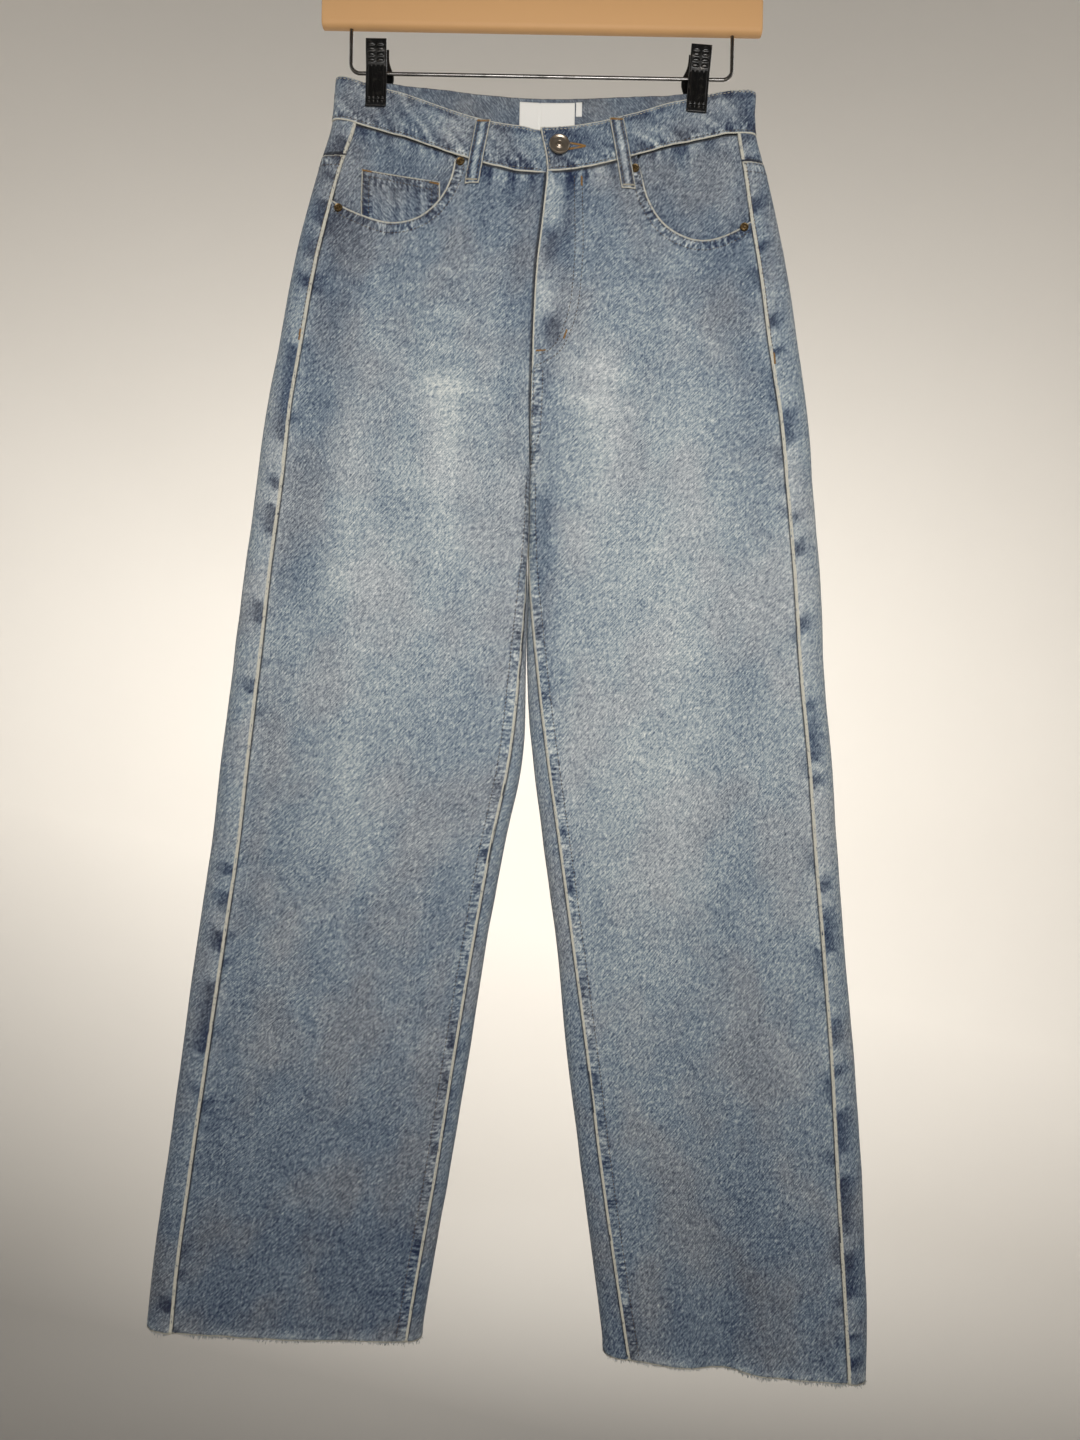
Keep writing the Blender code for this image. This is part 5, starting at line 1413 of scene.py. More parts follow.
def turned(name, profile, centre, axis, metal_name, slot, node, steps=48):
    """A round piece: its profile of radii and heights, spun, and set on its centre along its axis."""
    bm = bmesh.new()
    verts = [bm.verts.new((radius, 0, height)) for radius, height in profile]
    edges = [bm.edges.new(pair) for pair in zip(verts, verts[1:])]
    bmesh.ops.spin(
        bm, geom=verts + edges, cent=(0, 0, 0), axis=(0, 0, 1), angle=2 * math.pi, steps=steps, use_merge=True
    )
    bmesh.ops.remove_doubles(bm, verts=bm.verts[:], dist=0.001)
    bmesh.ops.recalc_face_normals(bm, faces=bm.faces[:])
    turn_to = Vector((0, 0, 1)).rotation_difference(Vector(axis)).to_matrix()
    bmesh.ops.rotate(bm, verts=bm.verts[:], cent=(0, 0, 0), matrix=turn_to)
    bmesh.ops.translate(bm, verts=bm.verts[:], vec=Vector(centre))
    bmesh.ops.scale(bm, verts=bm.verts[:], vec=(MM, MM, MM))
    mesh = bpy.data.meshes.new(name)
    bm.to_mesh(mesh)
    bm.free()
    mesh.shade_smooth()
    mesh.set_sharp_from_angle(angle=math.radians(38))
    return piece(name, mesh, (metal_name,), (node,))


# Radii and heights from the rim of the hollow nipple outwards and back under the head.
BUTTON_PROFILE = (
    (0.0, 4.0), (1.0, 4.0), (1.5, 4.9), (2.1, 5.1), (2.7, 4.8), (3.0, 4.0), (3.9, 3.6), (5.6, 3.5),
    (6.3, 3.7), (6.9, 4.2), (7.6, 4.3), (8.2, 3.9), (8.5, 3.2), (8.3, 2.4), (7.4, 2.0), (4.5, 1.7),
    (4.5, 0.0), (0.0, 0.0),
)
RIVET_PROFILE = (
    (0.0, 2.2), (0.7, 2.1), (1.2, 1.5), (1.6, 0.9), (2.3, 0.8), (2.7, 1.2), (3.1, 1.4), (3.4, 1.1),
    (3.6, 0.5), (3.6, 0.0), (0.0, 0.0),
)


def make_button():
    x, z = BUTTON_AT
    spot, normal = on_trees(tree_of("waistband_cloth"), "front", [x], [z], LAYER_GAP)
    bronze = "antique_bronze"
    turned("shank_button", BUTTON_PROFILE, spot[0], normal[0], bronze, bronze, "button", 64)


def make_rivet(name):
    x, z = RIVETS[name]
    front = "front_right_cloth" if "right" in name else "front_left_cloth"
    spot, normal = on_trees(tree_of(front), "front", [x], [z], 0.1)
    turned(name + "_cap", RIVET_PROFILE, spot[0], normal[0], "worn_brass", "antique_bronze", name, 32)


BAR_LENGTH, BAR_HEIGHT, BAR_DEPTH, BAR_TOP = 369.0, 28.0, 12.0, -79.0
BAR_CHAMFER, BAR_ROUNDING = 4.6, 1.6


def make_bar():
    bm = bmesh.new()
    bmesh.ops.create_cube(bm, size=1.0)
    bmesh.ops.scale(bm, verts=bm.verts[:], vec=(BAR_LENGTH, BAR_DEPTH, BAR_HEIGHT))
    bmesh.ops.translate(bm, verts=bm.verts[:], vec=(0, 0, BAR_TOP - BAR_HEIGHT / 2))
    middle = BAR_TOP - BAR_HEIGHT / 2
    low = [e for e in bm.edges if abs(e.verts[0].co.x - e.verts[1].co.x) > 1 and e.verts[0].co.z < middle]
    bmesh.ops.bevel(
        bm, geom=low, offset=BAR_CHAMFER, segments=3, profile=0.5, affect="EDGES", material=-1,
        clamp_overlap=True,
    )
    sharp = [e for e in bm.edges if e.calc_face_angle(0) > math.radians(40)]
    bmesh.ops.bevel(
        bm, geom=sharp, offset=BAR_ROUNDING, segments=4, profile=0.5, affect="EDGES", material=-1,
        clamp_overlap=True,
    )
    bmesh.ops.scale(bm, verts=bm.verts[:], vec=(MM, MM, MM))
    mesh = bpy.data.meshes.new("hanger_bar_wood")
    bm.to_mesh(mesh)
    bm.free()
    mesh.shade_smooth()
    mesh.set_sharp_from_angle(angle=math.radians(30))
    piece("hanger_bar_wood", mesh, ("hanger_wood",), ("hanger_bar",))


HOOK_WIRE, HOOK_INNER, HOOK_TIP, HOOK_LEAVES = 3.8, 20.0, 205.0, -38.0
NECK_LEAVES, NECK_REACHES, STEM = 18.0, 10.0, 14.0
RAIL_WIRE, RAIL_HALF, RAIL_HEIGHT, RAIL_BEND = 3.2, 160.0, -144.0, 8.0


def arc(centre, radius, start, end, count):
    """Points round an arc in the XZ plane, with its angles in degrees from +X towards +Z."""
    angles = np.radians(np.linspace(start, end, count))
    return [(centre[0] + radius * math.cos(a), 0.0, centre[1] + radius * math.sin(a)) for a in angles]


def wire(name, points, thickness, node):
    """A bent wire, a round tube along its points."""
    line = bpy.data.curves.new(name, "CURVE")
    line.dimensions = "3D"
    spline = line.splines.new("POLY")
    spline.points.add(len(points) - 1)
    for target, point in zip(spline.points, points):
        target.co = (*(Vector(point) * MM), 1.0)
    line.bevel_depth = thickness / 2 * MM
    line.bevel_resolution = 5
    line.use_fill_caps = True
    holder = bpy.data.objects.new(name, line)
    bpy.context.scene.collection.objects.link(holder)
    mesh = bpy.data.meshes.new_from_object(holder.evaluated_get(bpy.context.evaluated_depsgraph_get()))
    bpy.data.objects.remove(holder, do_unlink=True)
    bm = bmesh.new()
    bm.from_mesh(mesh)
    bmesh.ops.remove_doubles(bm, verts=bm.verts[:], dist=0.00001)
    bm.to_mesh(mesh)
    bm.free()
    mesh.materials.clear()
    mesh.shade_smooth()
    mesh.set_sharp_from_angle(angle=math.radians(45))
    piece(name, mesh, ("plated_wire",), (node,))


def make_hook():
    crook = arc((0.0, -HOOK_INNER), HOOK_INNER + HOOK_WIRE / 2, HOOK_TIP, HOOK_LEAVES, 60)
    leave = np.array(crook[-1])
    foot = np.array((0.0, 0.0, BAR_TOP + STEM))
    bend = math.radians(HOOK_LEAVES)
    heading = np.array((math.sin(bend), 0.0, -math.cos(bend))) * NECK_LEAVES
    neck = []
    for t in np.linspace(0, 1, 24)[1:]:
        blend = (1 - t) ** 3 * leave + 3 * (1 - t) ** 2 * t * (leave + heading)
        neck.append(blend + 3 * (1 - t) * t * t * (foot + (0, 0, NECK_REACHES)) + t**3 * foot)
    wire("hanger_hook_wire", crook + neck + [(0.0, 0.0, BAR_TOP + SEAM_GAP)], HOOK_WIRE, "hanger_hook")


def make_rail():
    left = [(-RAIL_HALF, 0.0, BAR_TOP - BAR_HEIGHT - SEAM_GAP)]
    left += arc((-RAIL_HALF + RAIL_BEND, RAIL_HEIGHT + RAIL_BEND), RAIL_BEND, 180, 270, 16)
    right = [(-x, y, z) for x, y, z in reversed(left)]
    wire("hanger_rail_wire", left + right, RAIL_WIRE, "hanger_rail")


CLIP_WIDTH, CLIP_SHEET = 17.5, 1.2
CLIP_WING, WING_HEIGHT, WING_REACH = 5.0, -2.0, 11.0
# A clip's side profile: height along the clip from the rail, and how far the jaw's inner face stands off.
CLIP_PROFILE = (
    (25, 7.6), (17, 6.9), (9, 5.2), (3, 3.6), (-4, 4.1), (-12, 4.2), (-20, 4.2), (-27, 4.4), (-30.5, 6.0),
)
# Pressed grips above, ribs down the jaw, a dot at the foot of each rib.
GRIP_HEIGHTS, GRIP_ASIDE, GRIP_SIZE, GRIP_RISE = (20.2, 16.1, 12.0, 7.9), 3.7, (3.0, 1.35), 1.0
RIB_PITCH, RIB_TOP, RIB_FOOT, RIB_RISE, RIB_HALF = 3.7, 4.5, -24.0, 0.9, 1.1
DOT_HEIGHT, DOT_RISE, DOT_HALF = -26.0, 1.2, 1.25


def pressed(x, z):
    """How far a jaw's pressed figure stands out."""
    relief = np.zeros(len(x))
    for height in GRIP_HEIGHTS:
        for aside in (-GRIP_ASIDE, GRIP_ASIDE):
            # Each grip is arched: lower towards its ends.
            arch = 0.45 * ((x - aside) / GRIP_SIZE[0]) ** 2
            away = np.hypot((x - aside) / GRIP_SIZE[0], (z - height + arch) / GRIP_SIZE[1])
            relief = np.maximum(relief, GRIP_RISE * np.sqrt(np.clip(1 - away**2, 0, 1)))
    run = ease((RIB_TOP - z) / 2.0) * ease((z - RIB_FOOT) / 1.2)
    for number in (-1.5, -0.5, 0.5, 1.5):
        aside = number * RIB_PITCH
        rib = np.sqrt(np.clip(1 - ((x - aside) / RIB_HALF) ** 2, 0, 1))
        relief = np.maximum(relief, RIB_RISE * run * rib)
        away = np.hypot(x - aside, z - DOT_HEIGHT) / DOT_HALF
        relief = np.maximum(relief, DOT_RISE * np.sqrt(np.clip(1 - away**2, 0, 1)))
    return relief


def make_clip(side):
    clip = CLIPS[side]
    lean = np.array(Matrix.Rotation(math.radians(clip["lean"]), 3, "Y"))
    hub = np.array((clip["x"], 0.0, RAIL_HEIGHT))
    heights = np.array([row[0] for row in CLIP_PROFILE], float)[::-1]
    stands = np.array([row[1] for row in CLIP_PROFILE], float)[::-1]
    for face, outwards in (("front", -1), ("back", 1)):

        def place(share, z, outwards=outwards, face=face):
            off = np.interp(z, heights, stands)
            wing = CLIP_WING * (face == "back") * np.exp(-(((z - WING_HEIGHT) / WING_REACH) ** 2))
            x = (share - 0.5) * CLIP_WIDTH
            inner_half = share * SIDES[side] < 0.5 * SIDES[side]
            widened = x - SIDES[side] * wing * inner_half * np.abs(2 * share - 1)
            edge = np.minimum((0.5 - np.abs(share - 0.5)) * CLIP_WIDTH, heights[-1] - z)
            out = off + CLIP_SHEET + pressed(x, z) - 1.5 * (1 - turn(edge / 1.8))
            point = np.stack([widened, outwards * out, z], axis=1) @ lean.T + hub
            return point, x, z, {}

        name = "clip_" + face + "_" + side
        cloth(
            name + "_jaw", np.linspace(0, 1, 71), np.linspace(heights[0], heights[-1], 150), place,
            CLIP_SHEET, ("clip_steel", "clip_steel"), name, wrong_way=face == "back",
        )
    # The coiled spring between the jaws, round the rail.
    inner, outer, half, turns = RAIL_WIRE / 2 + 0.45, 2.2, 6.0, 10
    coils = [
        (outer + 0.5 * abs(math.sin(math.pi * turns * share)), half - 2 * half * share)
        for share in np.linspace(0, 1, 8 * turns + 1)
    ]
    profile = [(inner, half), *coils, (inner, -half), (inner, half)]
    name = "clip_barrel_" + side
    turned(name + "_spring", profile, hub, (1, 0, 0), "plated_wire", "clip_metal", name, 24)


# ---------------------------------------------------------------- sewing


def curve(points, count):
    """Points along a smooth curve through a few, evenly spaced."""
    points = np.asarray(points, float)
    ends = np.concatenate([[2 * points[0] - points[1]], points, [2 * points[-1] - points[-2]]])
    t = np.linspace(0, len(points) - 1, 40 * len(points))
    low = np.minimum(t.astype(int), len(points) - 2)
    a, b, c, d = (ends[low + k] for k in range(4))
    t = (t - low)[:, None]
    smooth_points = 0.5 * (
        2 * b + (c - a) * t + (2 * a - 5 * b + 4 * c - d) * t * t + (3 * b - a - 3 * c + d) * t**3
    )
    runs = np.concatenate([[0], np.cumsum(np.linalg.norm(np.diff(smooth_points, axis=0), axis=1))])
    even = np.linspace(0, runs[-1], count)
    return np.stack([np.interp(even, runs, axis) for axis in smooth_points.T], axis=1)


def beside(points, away):
    """A line beside a flat line, away to the left of its run."""
    run = np.gradient(points, axis=0)
    run /= np.linalg.norm(run, axis=1)[:, None]
    return points + np.stack([-run[:, 1], run[:, 0]], axis=1) * away


def snap(points, trees, out=0.0):
    """Points carried onto the nearest made piece, and the way out there."""
    spots, normals = [], []
    for point in points:
        hits = [tree.find_nearest(Vector(point) * MM) for tree in trees]
        found = min(hits, key=lambda hit: hit[3])
        normals.append(found[1])
        spots.append(found[0] / MM + found[1] * out)
    return np.array(spots), np.array(normals)


class Sewing:
    """Stitches of one colour, gathered row by row and joined into one piece."""

    def __init__(self, seed):
        self.centres, self.runs, self.outs, self.sizes = [], [], [], []
        self.chance = np.random.default_rng(seed)

    def add(self, centres, runs, outs, length, width):
        self.centres.append(centres)
        self.runs.append(runs)
        self.outs.append(outs)
        self.sizes.append(np.broadcast_to((length, width, width * 0.8), (len(centres), 3)))

    def row(self, points, normals, pitch=None, cover=0.80, width=None):
        """Stitches end to end along a line on the cloth."""
        sizes = cloth_settings()
        pitch, width = pitch or sizes.stitch_pitch / MM, width or sizes.thread / MM
        runs = np.concatenate([[0], np.cumsum(np.linalg.norm(np.diff(points, axis=0), axis=1))])
        count = int(runs[-1] / pitch)
        if count < 1:
            return
        middle = (np.arange(count) + 0.5) * runs[-1] / count

        def at(where, table):
            return np.stack([np.interp(where, runs, axis) for axis in table.T], axis=1)

        wander = self.chance.normal(0, 0.07, count)[:, None]
        run = at(middle + pitch * 0.4, points) - at(middle - pitch * 0.4, points)
        run = run / np.linalg.norm(run, axis=1)[:, None]
        out = at(middle, normals)
        aside = np.cross(out, run)
        tilt = run + aside * self.chance.normal(0, 0.05, count)[:, None]
        centre = at(middle, points) + aside * wander + out * (width * 0.16)
        self.add(centre, tilt, out, pitch * cover, width)

    def tack(self, centre, run, out, length=9.0, width=2.2, pitch=0.62):
        """A bar tack: dense stitches across a short line."""
        run, out = np.asarray(run, float), np.asarray(out, float)
        run = run / np.linalg.norm(run)
        out = out / np.linalg.norm(out)
        aside = np.cross(out, run)
        along_run = np.arange(-length / 2, length / 2, pitch)
        jitter = self.chance.normal(0, 0.12, len(along_run))
        centres = np.asarray(centre, float) + along_run[:, None] * run + jitter[:, None] * aside + out * 0.35
        lean = aside + run * self.chance.normal(0.12, 0.05, len(along_run))[:, None]
        self.add(centres, lean, np.broadcast_to(out, centres.shape), width, 0.7)

    def make(self, name, colour, slot="denim"):
        bm = bmesh.new()
        bmesh.ops.create_icosphere(bm, subdivisions=1, radius=0.5)
        shape = np.array([v.co[:] for v in bm.verts])
        faces = np.array([[v.index for v in face.verts] for face in bm.faces])
        bm.free()
        centre, run, out = (np.concatenate(part) for part in (self.centres, self.runs, self.outs))
        size = np.concatenate(self.sizes)
        run = run / np.linalg.norm(run, axis=1)[:, None]
        aside = np.cross(out, run)
        aside /= np.linalg.norm(aside, axis=1)[:, None]
        out = np.cross(run, aside)
        axes = np.stack([run, aside, out], axis=1) * size[:, :, None]
        points = centre[:, None, :] + np.einsum("vk,ikc->ivc", shape, axes)
        faces = faces[None] + len(shape) * np.arange(len(centre))[:, None, None]
        mesh = bpy.data.meshes.new(name)
        mesh.from_pydata((points.reshape(-1, 3) * MM).tolist(), [], faces.reshape(-1, 3).tolist())
        mesh.shade_smooth()
        return piece(name, mesh, (colour,))


def line_on_panel(panel, points, out=0.0):
    """A line of lengths and heights as points and normals on the dressed panel."""
    points = np.asarray(points, float)
    return panel.point(points[:, 0], points[:, 1], out)


def panel_rows_of_thread(tan, cream, ochre):
    for side in SIDES:
        sign, tube = SIDES[side], TUBES[side]
        front, back = PANELS[side, "front"], PANELS[side, "back"]
        legs = np.linspace(FORK - 6.0, -1199.0 if side == "right" else -1209.0, 240)
        tan.row(*line_on_panel(front, np.stack([tube.seam("inseam", legs) + 8.6, legs], axis=1)))
        mouth = SCOOPS[side]
        end_x = abs(flat(side + "_outer", mouth["end_z"])) - flat(side + "_outseam", mouth["end_z"]) - 1.5
        for margin in (2.0, 8.4):
            start, low = abs(mouth["start"]) - margin + 0.05, abs(mouth["low_x"])
            xs = np.concatenate(
                [
                    start + (low - start) * (1 - np.cos(np.linspace(0.12, np.pi / 2, 50))),
                    np.linspace(low, end_x, 20)[1:],
                ]
            ) * sign
            tan.row(*line_on_panel(front, front.front_line(xs, lambda x: scoop(side, x, margin))))
        tack_z = -369.0 if side == "right" else -382.0
        strip = np.linspace(YOKE_SIDE - 1.0, tack_z, 60)
        tan.row(*line_on_panel(back, np.stack([tube.seam("outseam", strip) + 1.9, strip], axis=1)))
        spot, out = line_on_panel(back, [(float(tube.seam("outseam", tack_z)) + 2.0, tack_z)])
        ochre.tack(spot[0], (0.12 * sign, 0, -1), out[0], 9.0, 2.0)
        shares = np.linspace(0.004, 0.995, 90)
        for down in (2.0, 8.8):
            z = back.top(shares) - down
            tan.row(*line_on_panel(back, np.stack([back.length(shares, z), z], axis=1)))
    left_back, tube = PANELS["left", "back"], TUBES["left"]
    seat = np.linspace(YOKE_CENTRE - 2.0, FORK + 6.0, 60)
    for away in (2.0, 8.8):
        tan.row(*line_on_panel(left_back, np.stack([tube.seam("whole", seat) - away, seat], axis=1)))


# The curved stitching of the fly, from the waist seam round to the fly's edge.
FLY_STITCH = (
    (35.5, -236.0), (36.0, -255.0), (37.0, -282.0), (37.0, -305.0), (34.5, -338.0), (30.0, -358.0),
    (21.5, -377.0), (12.0, -386.0), (-0.5, -392.0),
)
FLY_ROW_GAP = 6.6


def fly_rows_of_thread(tan, cream, ochre):
    panel, tube = PANELS["left", "front"], TUBES["left"]
    outer = curve(FLY_STITCH, 120)
    for line in (outer, beside(outer, -FLY_ROW_GAP)[:-4]):
        lengths = tube.length_of("front", line[:, 0], line[:, 1])
        tan.row(*line_on_panel(panel, np.stack([lengths, line[:, 1]], axis=1)))
    rise = np.linspace(FLY_FOOT - 3.0, FORK + 3.0, 50)
    for away in (2.0, 9.2):
        close = 1 - 0.72 * ease((FORK + 40.0 - rise) / 34.0) * (away > 5)
        tan.row(*line_on_panel(panel, np.stack([away * close, rise], axis=1)))
    for x, z, run in ((24.0, -365.5, (0.35, 0, 1)), (4.2, -379.5, (1, 0, 0.05)), (35.0, -240.0, (0, 0, 1))):
        spot, out = line_on_panel(panel, [(float(tube.length_of("front", x, z)), z)])
        ochre.tack(spot[0], run, out[0], 8.0, 2.0)


def band_rows_of_thread(tan, cream, ochre):
    band = tree_of("waistband_cloth")
    spots = np.linspace(0.004, 0.9965, 900)
    for height, sewing in ((BAND_HEIGHT - 2.4, cream), (2.6, tan)):
        plain = band_spots(spots, np.full(len(spots), height), np.full(len(spots), 1.2))[0]
        sewing.row(*snap(plain, band))
    heights = np.linspace(3.0, BAND_HEIGHT - 3.0, 14)
    plain = band_spots(np.full(14, 0.9965), heights, np.full(14, 1.2))[0]
    cream.row(*snap(plain, band))


def pocket_rows_of_thread(tan, cream, ochre):
    for side in SIDES:
        pocket = tree_of("back_pocket_" + side + "_cloth")
        for inset in (2.2, 8.6):
            (inner_x, inner_z), (outer_x, outer_z) = POCKET_TOP_INNER, POCKET_TOP_OUTER
            foot_in = (inner_x + POCKET_TAPER + inset, inner_z - POCKET_SIDE_HEIGHT + inset * 0.2)
            foot_out = (outer_x - POCKET_TAPER - inset, outer_z - POCKET_SIDE_HEIGHT + inset * 0.2)
            point_z = (inner_z + outer_z) / 2 - POCKET_SIDE_HEIGHT - POCKET_POINT + inset * 1.08
            point = ((inner_x + outer_x) / 2, point_z)
            top_in, top_out = (inner_x + inset, inner_z - 1.5), (outer_x - inset, outer_z - 1.5)
            corners = (top_in, foot_in, point, foot_out, top_out)
            for start, end in zip(corners, corners[1:]):
                run = np.linspace(start, end, 40)
                flat_row = np.stack([1.0 + SIDES[side] * run[:, 0], np.full(40, 30.0), run[:, 1]], axis=1)
                spot = on_trees(pocket, "back", flat_row[:, 0], flat_row[:, 2], np.zeros(40))
                tan.row(*spot)
        for drop in (2.2, 12.5):
            row_from = (POCKET_TOP_INNER[0] + 2, POCKET_TOP_INNER[1] - drop)
            row_to = (POCKET_TOP_OUTER[0] - 2, POCKET_TOP_OUTER[1] - drop)
            run = np.linspace(row_from, row_to, 60)
            tan.row(*on_trees(pocket, "back", 1.0 + SIDES[side] * run[:, 0], run[:, 1], np.zeros(60)))
        for x, z in (POCKET_TOP_INNER, POCKET_TOP_OUTER):
            inwards = 5.4 if x < 60 else -5.4
            tack_x, tack_z = 1.0 + SIDES[side] * (x + inwards), z - 2.0
            spot, out = on_trees(pocket, "back", np.array([tack_x]), np.array([tack_z]), 0.0)
            ochre.tack(spot[0], (1, 0, 0.1), out[0], 8.0, 2.0)
    coin = tree_of("coin_pocket_cloth")
    for inset in (1.8, 6.6):
        tops = [(COIN_LEFT + inset, COIN_TOP_LEFT - inset), (COIN_RIGHT - inset, COIN_TOP_RIGHT - inset)]
        lines = (
            (tops[0], tops[1]),
            (tops[0], (COIN_LEFT + inset, -266.0)),
            (tops[1], (COIN_RIGHT - inset, -262.0)),
        )
        for start, end in lines:
            run = np.linspace(start, end, 24)
            tan.row(*on_trees(coin, "front", run[:, 0], run[:, 1], np.zeros(24)), pitch=2.8)
    for x, z in ((COIN_LEFT + 4.5, COIN_TOP_LEFT - 2.2), (COIN_RIGHT - 4.5, COIN_TOP_RIGHT - 1.4)):
        spot, out = on_trees(coin, "front", np.array([x]), np.array([z]), 0.0)
        ochre.tack(spot[0], (1, 0, -0.19), out[0], 7.5, 2.0)


def loop_rows_of_thread(tan, cream, ochre):
    for name, (face, top_x, foot_x, foot_z) in BELT_LOOPS.items():
        tree = tree_of(name + "_cloth")
        top_z = band_top(face, top_x) - 1.5
        for aside in (-3.6, 3.6):
            run = np.linspace((top_x + aside, top_z - 3.5), (foot_x + aside, foot_z + 3.5), 30)
            tan.row(*on_trees(tree, face, run[:, 0], run[:, 1], np.zeros(30)), pitch=2.9)
        for x, z, sewing in ((top_x, top_z - 2.4, ochre), (foot_x, foot_z + 2.4, cream)):
            spot, out = on_trees(tree, face, np.array([x]), np.array([z]), 0.0)
            sewing.tack(spot[0], (1, 0, 0), out[0], LOOP_WIDTH - 2.5, 2.2)


BUTTONHOLE_END = (37.5, -211.5)


def buttonhole_thread(ochre):
    """Dense stitches along the hole's two sides, meeting in a point beside the button."""
    band = tree_of("waistband_cloth")
    start, end = np.array(BUTTON_AT) + (3.0, 0.6), np.array(BUTTONHOLE_END)
    for sign in (-1, 1):
        share = np.linspace(0, 1, 34)
        wide = 3.3 * (1 - share) ** 0.8
        line = start + (end - start) * share[:, None] + np.stack([0 * share, sign * wide], axis=1)
        spots, normals = on_trees(band, "front", line[:, 0], line[:, 1], np.zeros(len(line)))
        lean = np.tile((0.35, 0.0, 1.0 * sign), (len(line), 1))
        ochre.add(spots + normals * 0.25, lean, normals, 2.3, 0.75)


def make_sewing():
    tan, cream, ochre = Sewing(1), Sewing(2), Sewing(3)
    every_row = (
        panel_rows_of_thread,
        fly_rows_of_thread,
        band_rows_of_thread,
        pocket_rows_of_thread,
        loop_rows_of_thread,
    )
    for rows in every_row:
        rows(tan, cream, ochre)
    buttonhole_thread(ochre)
    tan.make("stitching_tan", "thread_tan")
    cream.make("stitching_cream", "thread_cream")
    ochre.make("bar_tacks_ochre", "thread_ochre")


def make_fray():
    """Loose warp threads hanging from the raw hems."""
    sizes = cloth_settings()
    chance = np.random.default_rng(77)
    threads = Sewing(5)
    for (side, face), panel in PANELS.items():
        shares = np.sort(chance.uniform(0.003, 0.997, 520))
        feet = panel.foot(shares)
        length = panel.length(shares, feet)
        spot, out = panel.point(length, feet + 0.6)
        count = len(shares)
        usual = sizes.fray / MM
        long = usual * (0.45 + 0.9 * chance.beta(1.6, 3.0, count)) * (0.8 + 0.35 * ripple(length / 14.0, 78))
        sway = chance.normal(0, 0.30, count)
        aside = np.cross(out, (0, 0, 1))
        run = np.array((0, 0, -1.0)) + aside * sway[:, None] + out * chance.normal(0.12, 0.22, count)[:, None]
        run /= np.linalg.norm(run, axis=1)[:, None]
        threads.centres.append(spot - out * (WALL / 2) + run * (long[:, None] / 2 - 0.8))
        threads.runs.append(run)
        threads.outs.append(out)
        threads.sizes.append(np.stack([long, np.full(count, 0.45), np.full(count, 0.45)], axis=1))
    threads.make("hem_fray", "thread_fray")


# ---------------------------------------------------------------- the stage


CAMERA_AT = (8.9, -874.0, -684.5)
CAMERA_ROLL = math.radians(1.05)
LENS, SENSOR = 26.0, 36.0


def make_stage():
    """A pale floor that turns up into a round wall, open at the top, with painted shade on it."""
    bm = bmesh.new()
    low, radius, bend, height = -2.1, 3.4, 1.1, 2.8
    profile = [(0.0, low), (radius - bend, low)]
    for angle in np.linspace(0, math.pi / 2, 14)[1:]:
        profile.append((radius - bend + bend * math.sin(angle), low + bend * (1 - math.cos(angle))))
    profile.append((radius, height))
    verts = [bm.verts.new((r, 0, z)) for r, z in profile]
    edges = [bm.edges.new(pair) for pair in zip(verts, verts[1:])]
    bmesh.ops.spin(
        bm, geom=verts + edges, cent=(0, 0, 0), axis=(0, 0, 1), angle=2 * math.pi, steps=64, use_merge=True
    )
    bmesh.ops.remove_doubles(bm, verts=bm.verts[:], dist=0.0005)
    bmesh.ops.recalc_face_normals(bm, faces=bm.faces[:])
    mesh = bpy.data.meshes.new("stage")
    bm.to_mesh(mesh)
    bm.free()
    mesh.shade_smooth()
    mesh.materials.append(material("pale_stage"))
    stage = bpy.data.objects.new("stage", mesh)
    bpy.context.scene.collection.objects.link(stage)


def make_lights():
    scene = bpy.context.scene
    world = bpy.data.worlds.new("soft_studio")
    world.use_nodes = True
    background = world.node_tree.nodes["Background"]
    background.inputs["Color"].default_value = (1.0, 0.985, 0.96, 1.0)
    background.inputs["Strength"].default_value = 0.24
    scene.world = world
    lights = (
        # name, place, aimed at, width, height, power, colour
        ("key", (0.06, -1.02, -0.46), (0.02, 0.0, -0.60), 0.55, 0.40, 8.6, (1.0, 0.98, 0.955)),
        ("wall_wash", (-0.1, 0.95, -0.55), (0.0, 3.4, -0.60), 0.5, 0.5, 62.0, (1.0, 0.975, 0.93)),
        ("back_fill", (0.4, 2.3, 0.9), (0.0, 0.0, -0.6), 1.8, 1.4, 16.0, (0.97, 0.98, 1.0)),
        ("side_fill", (-2.4, 0.2, 0.5), (0.0, 0.0, -0.6), 1.4, 1.4, 8.0, (1.0, 0.99, 0.97)),
        ("other_side_fill", (2.4, 0.2, 0.5), (0.0, 0.0, -0.6), 1.4, 1.4, 8.0, (1.0, 0.99, 0.97)),
    )
    for name, place, aim, width, height, power, colour in lights:
        data = bpy.data.lights.new(name, "AREA")
        data.shape = "RECTANGLE"
        data.size, data.size_y = width, height
        data.energy = power
        data.color = colour
        lamp = bpy.data.objects.new(name, data)
        lamp.location = place
        lamp.rotation_euler = (Vector(aim) - Vector(place)).to_track_quat("-Z", "Y").to_euler()
        lamp.visible_camera = False
        scene.collection.objects.link(lamp)


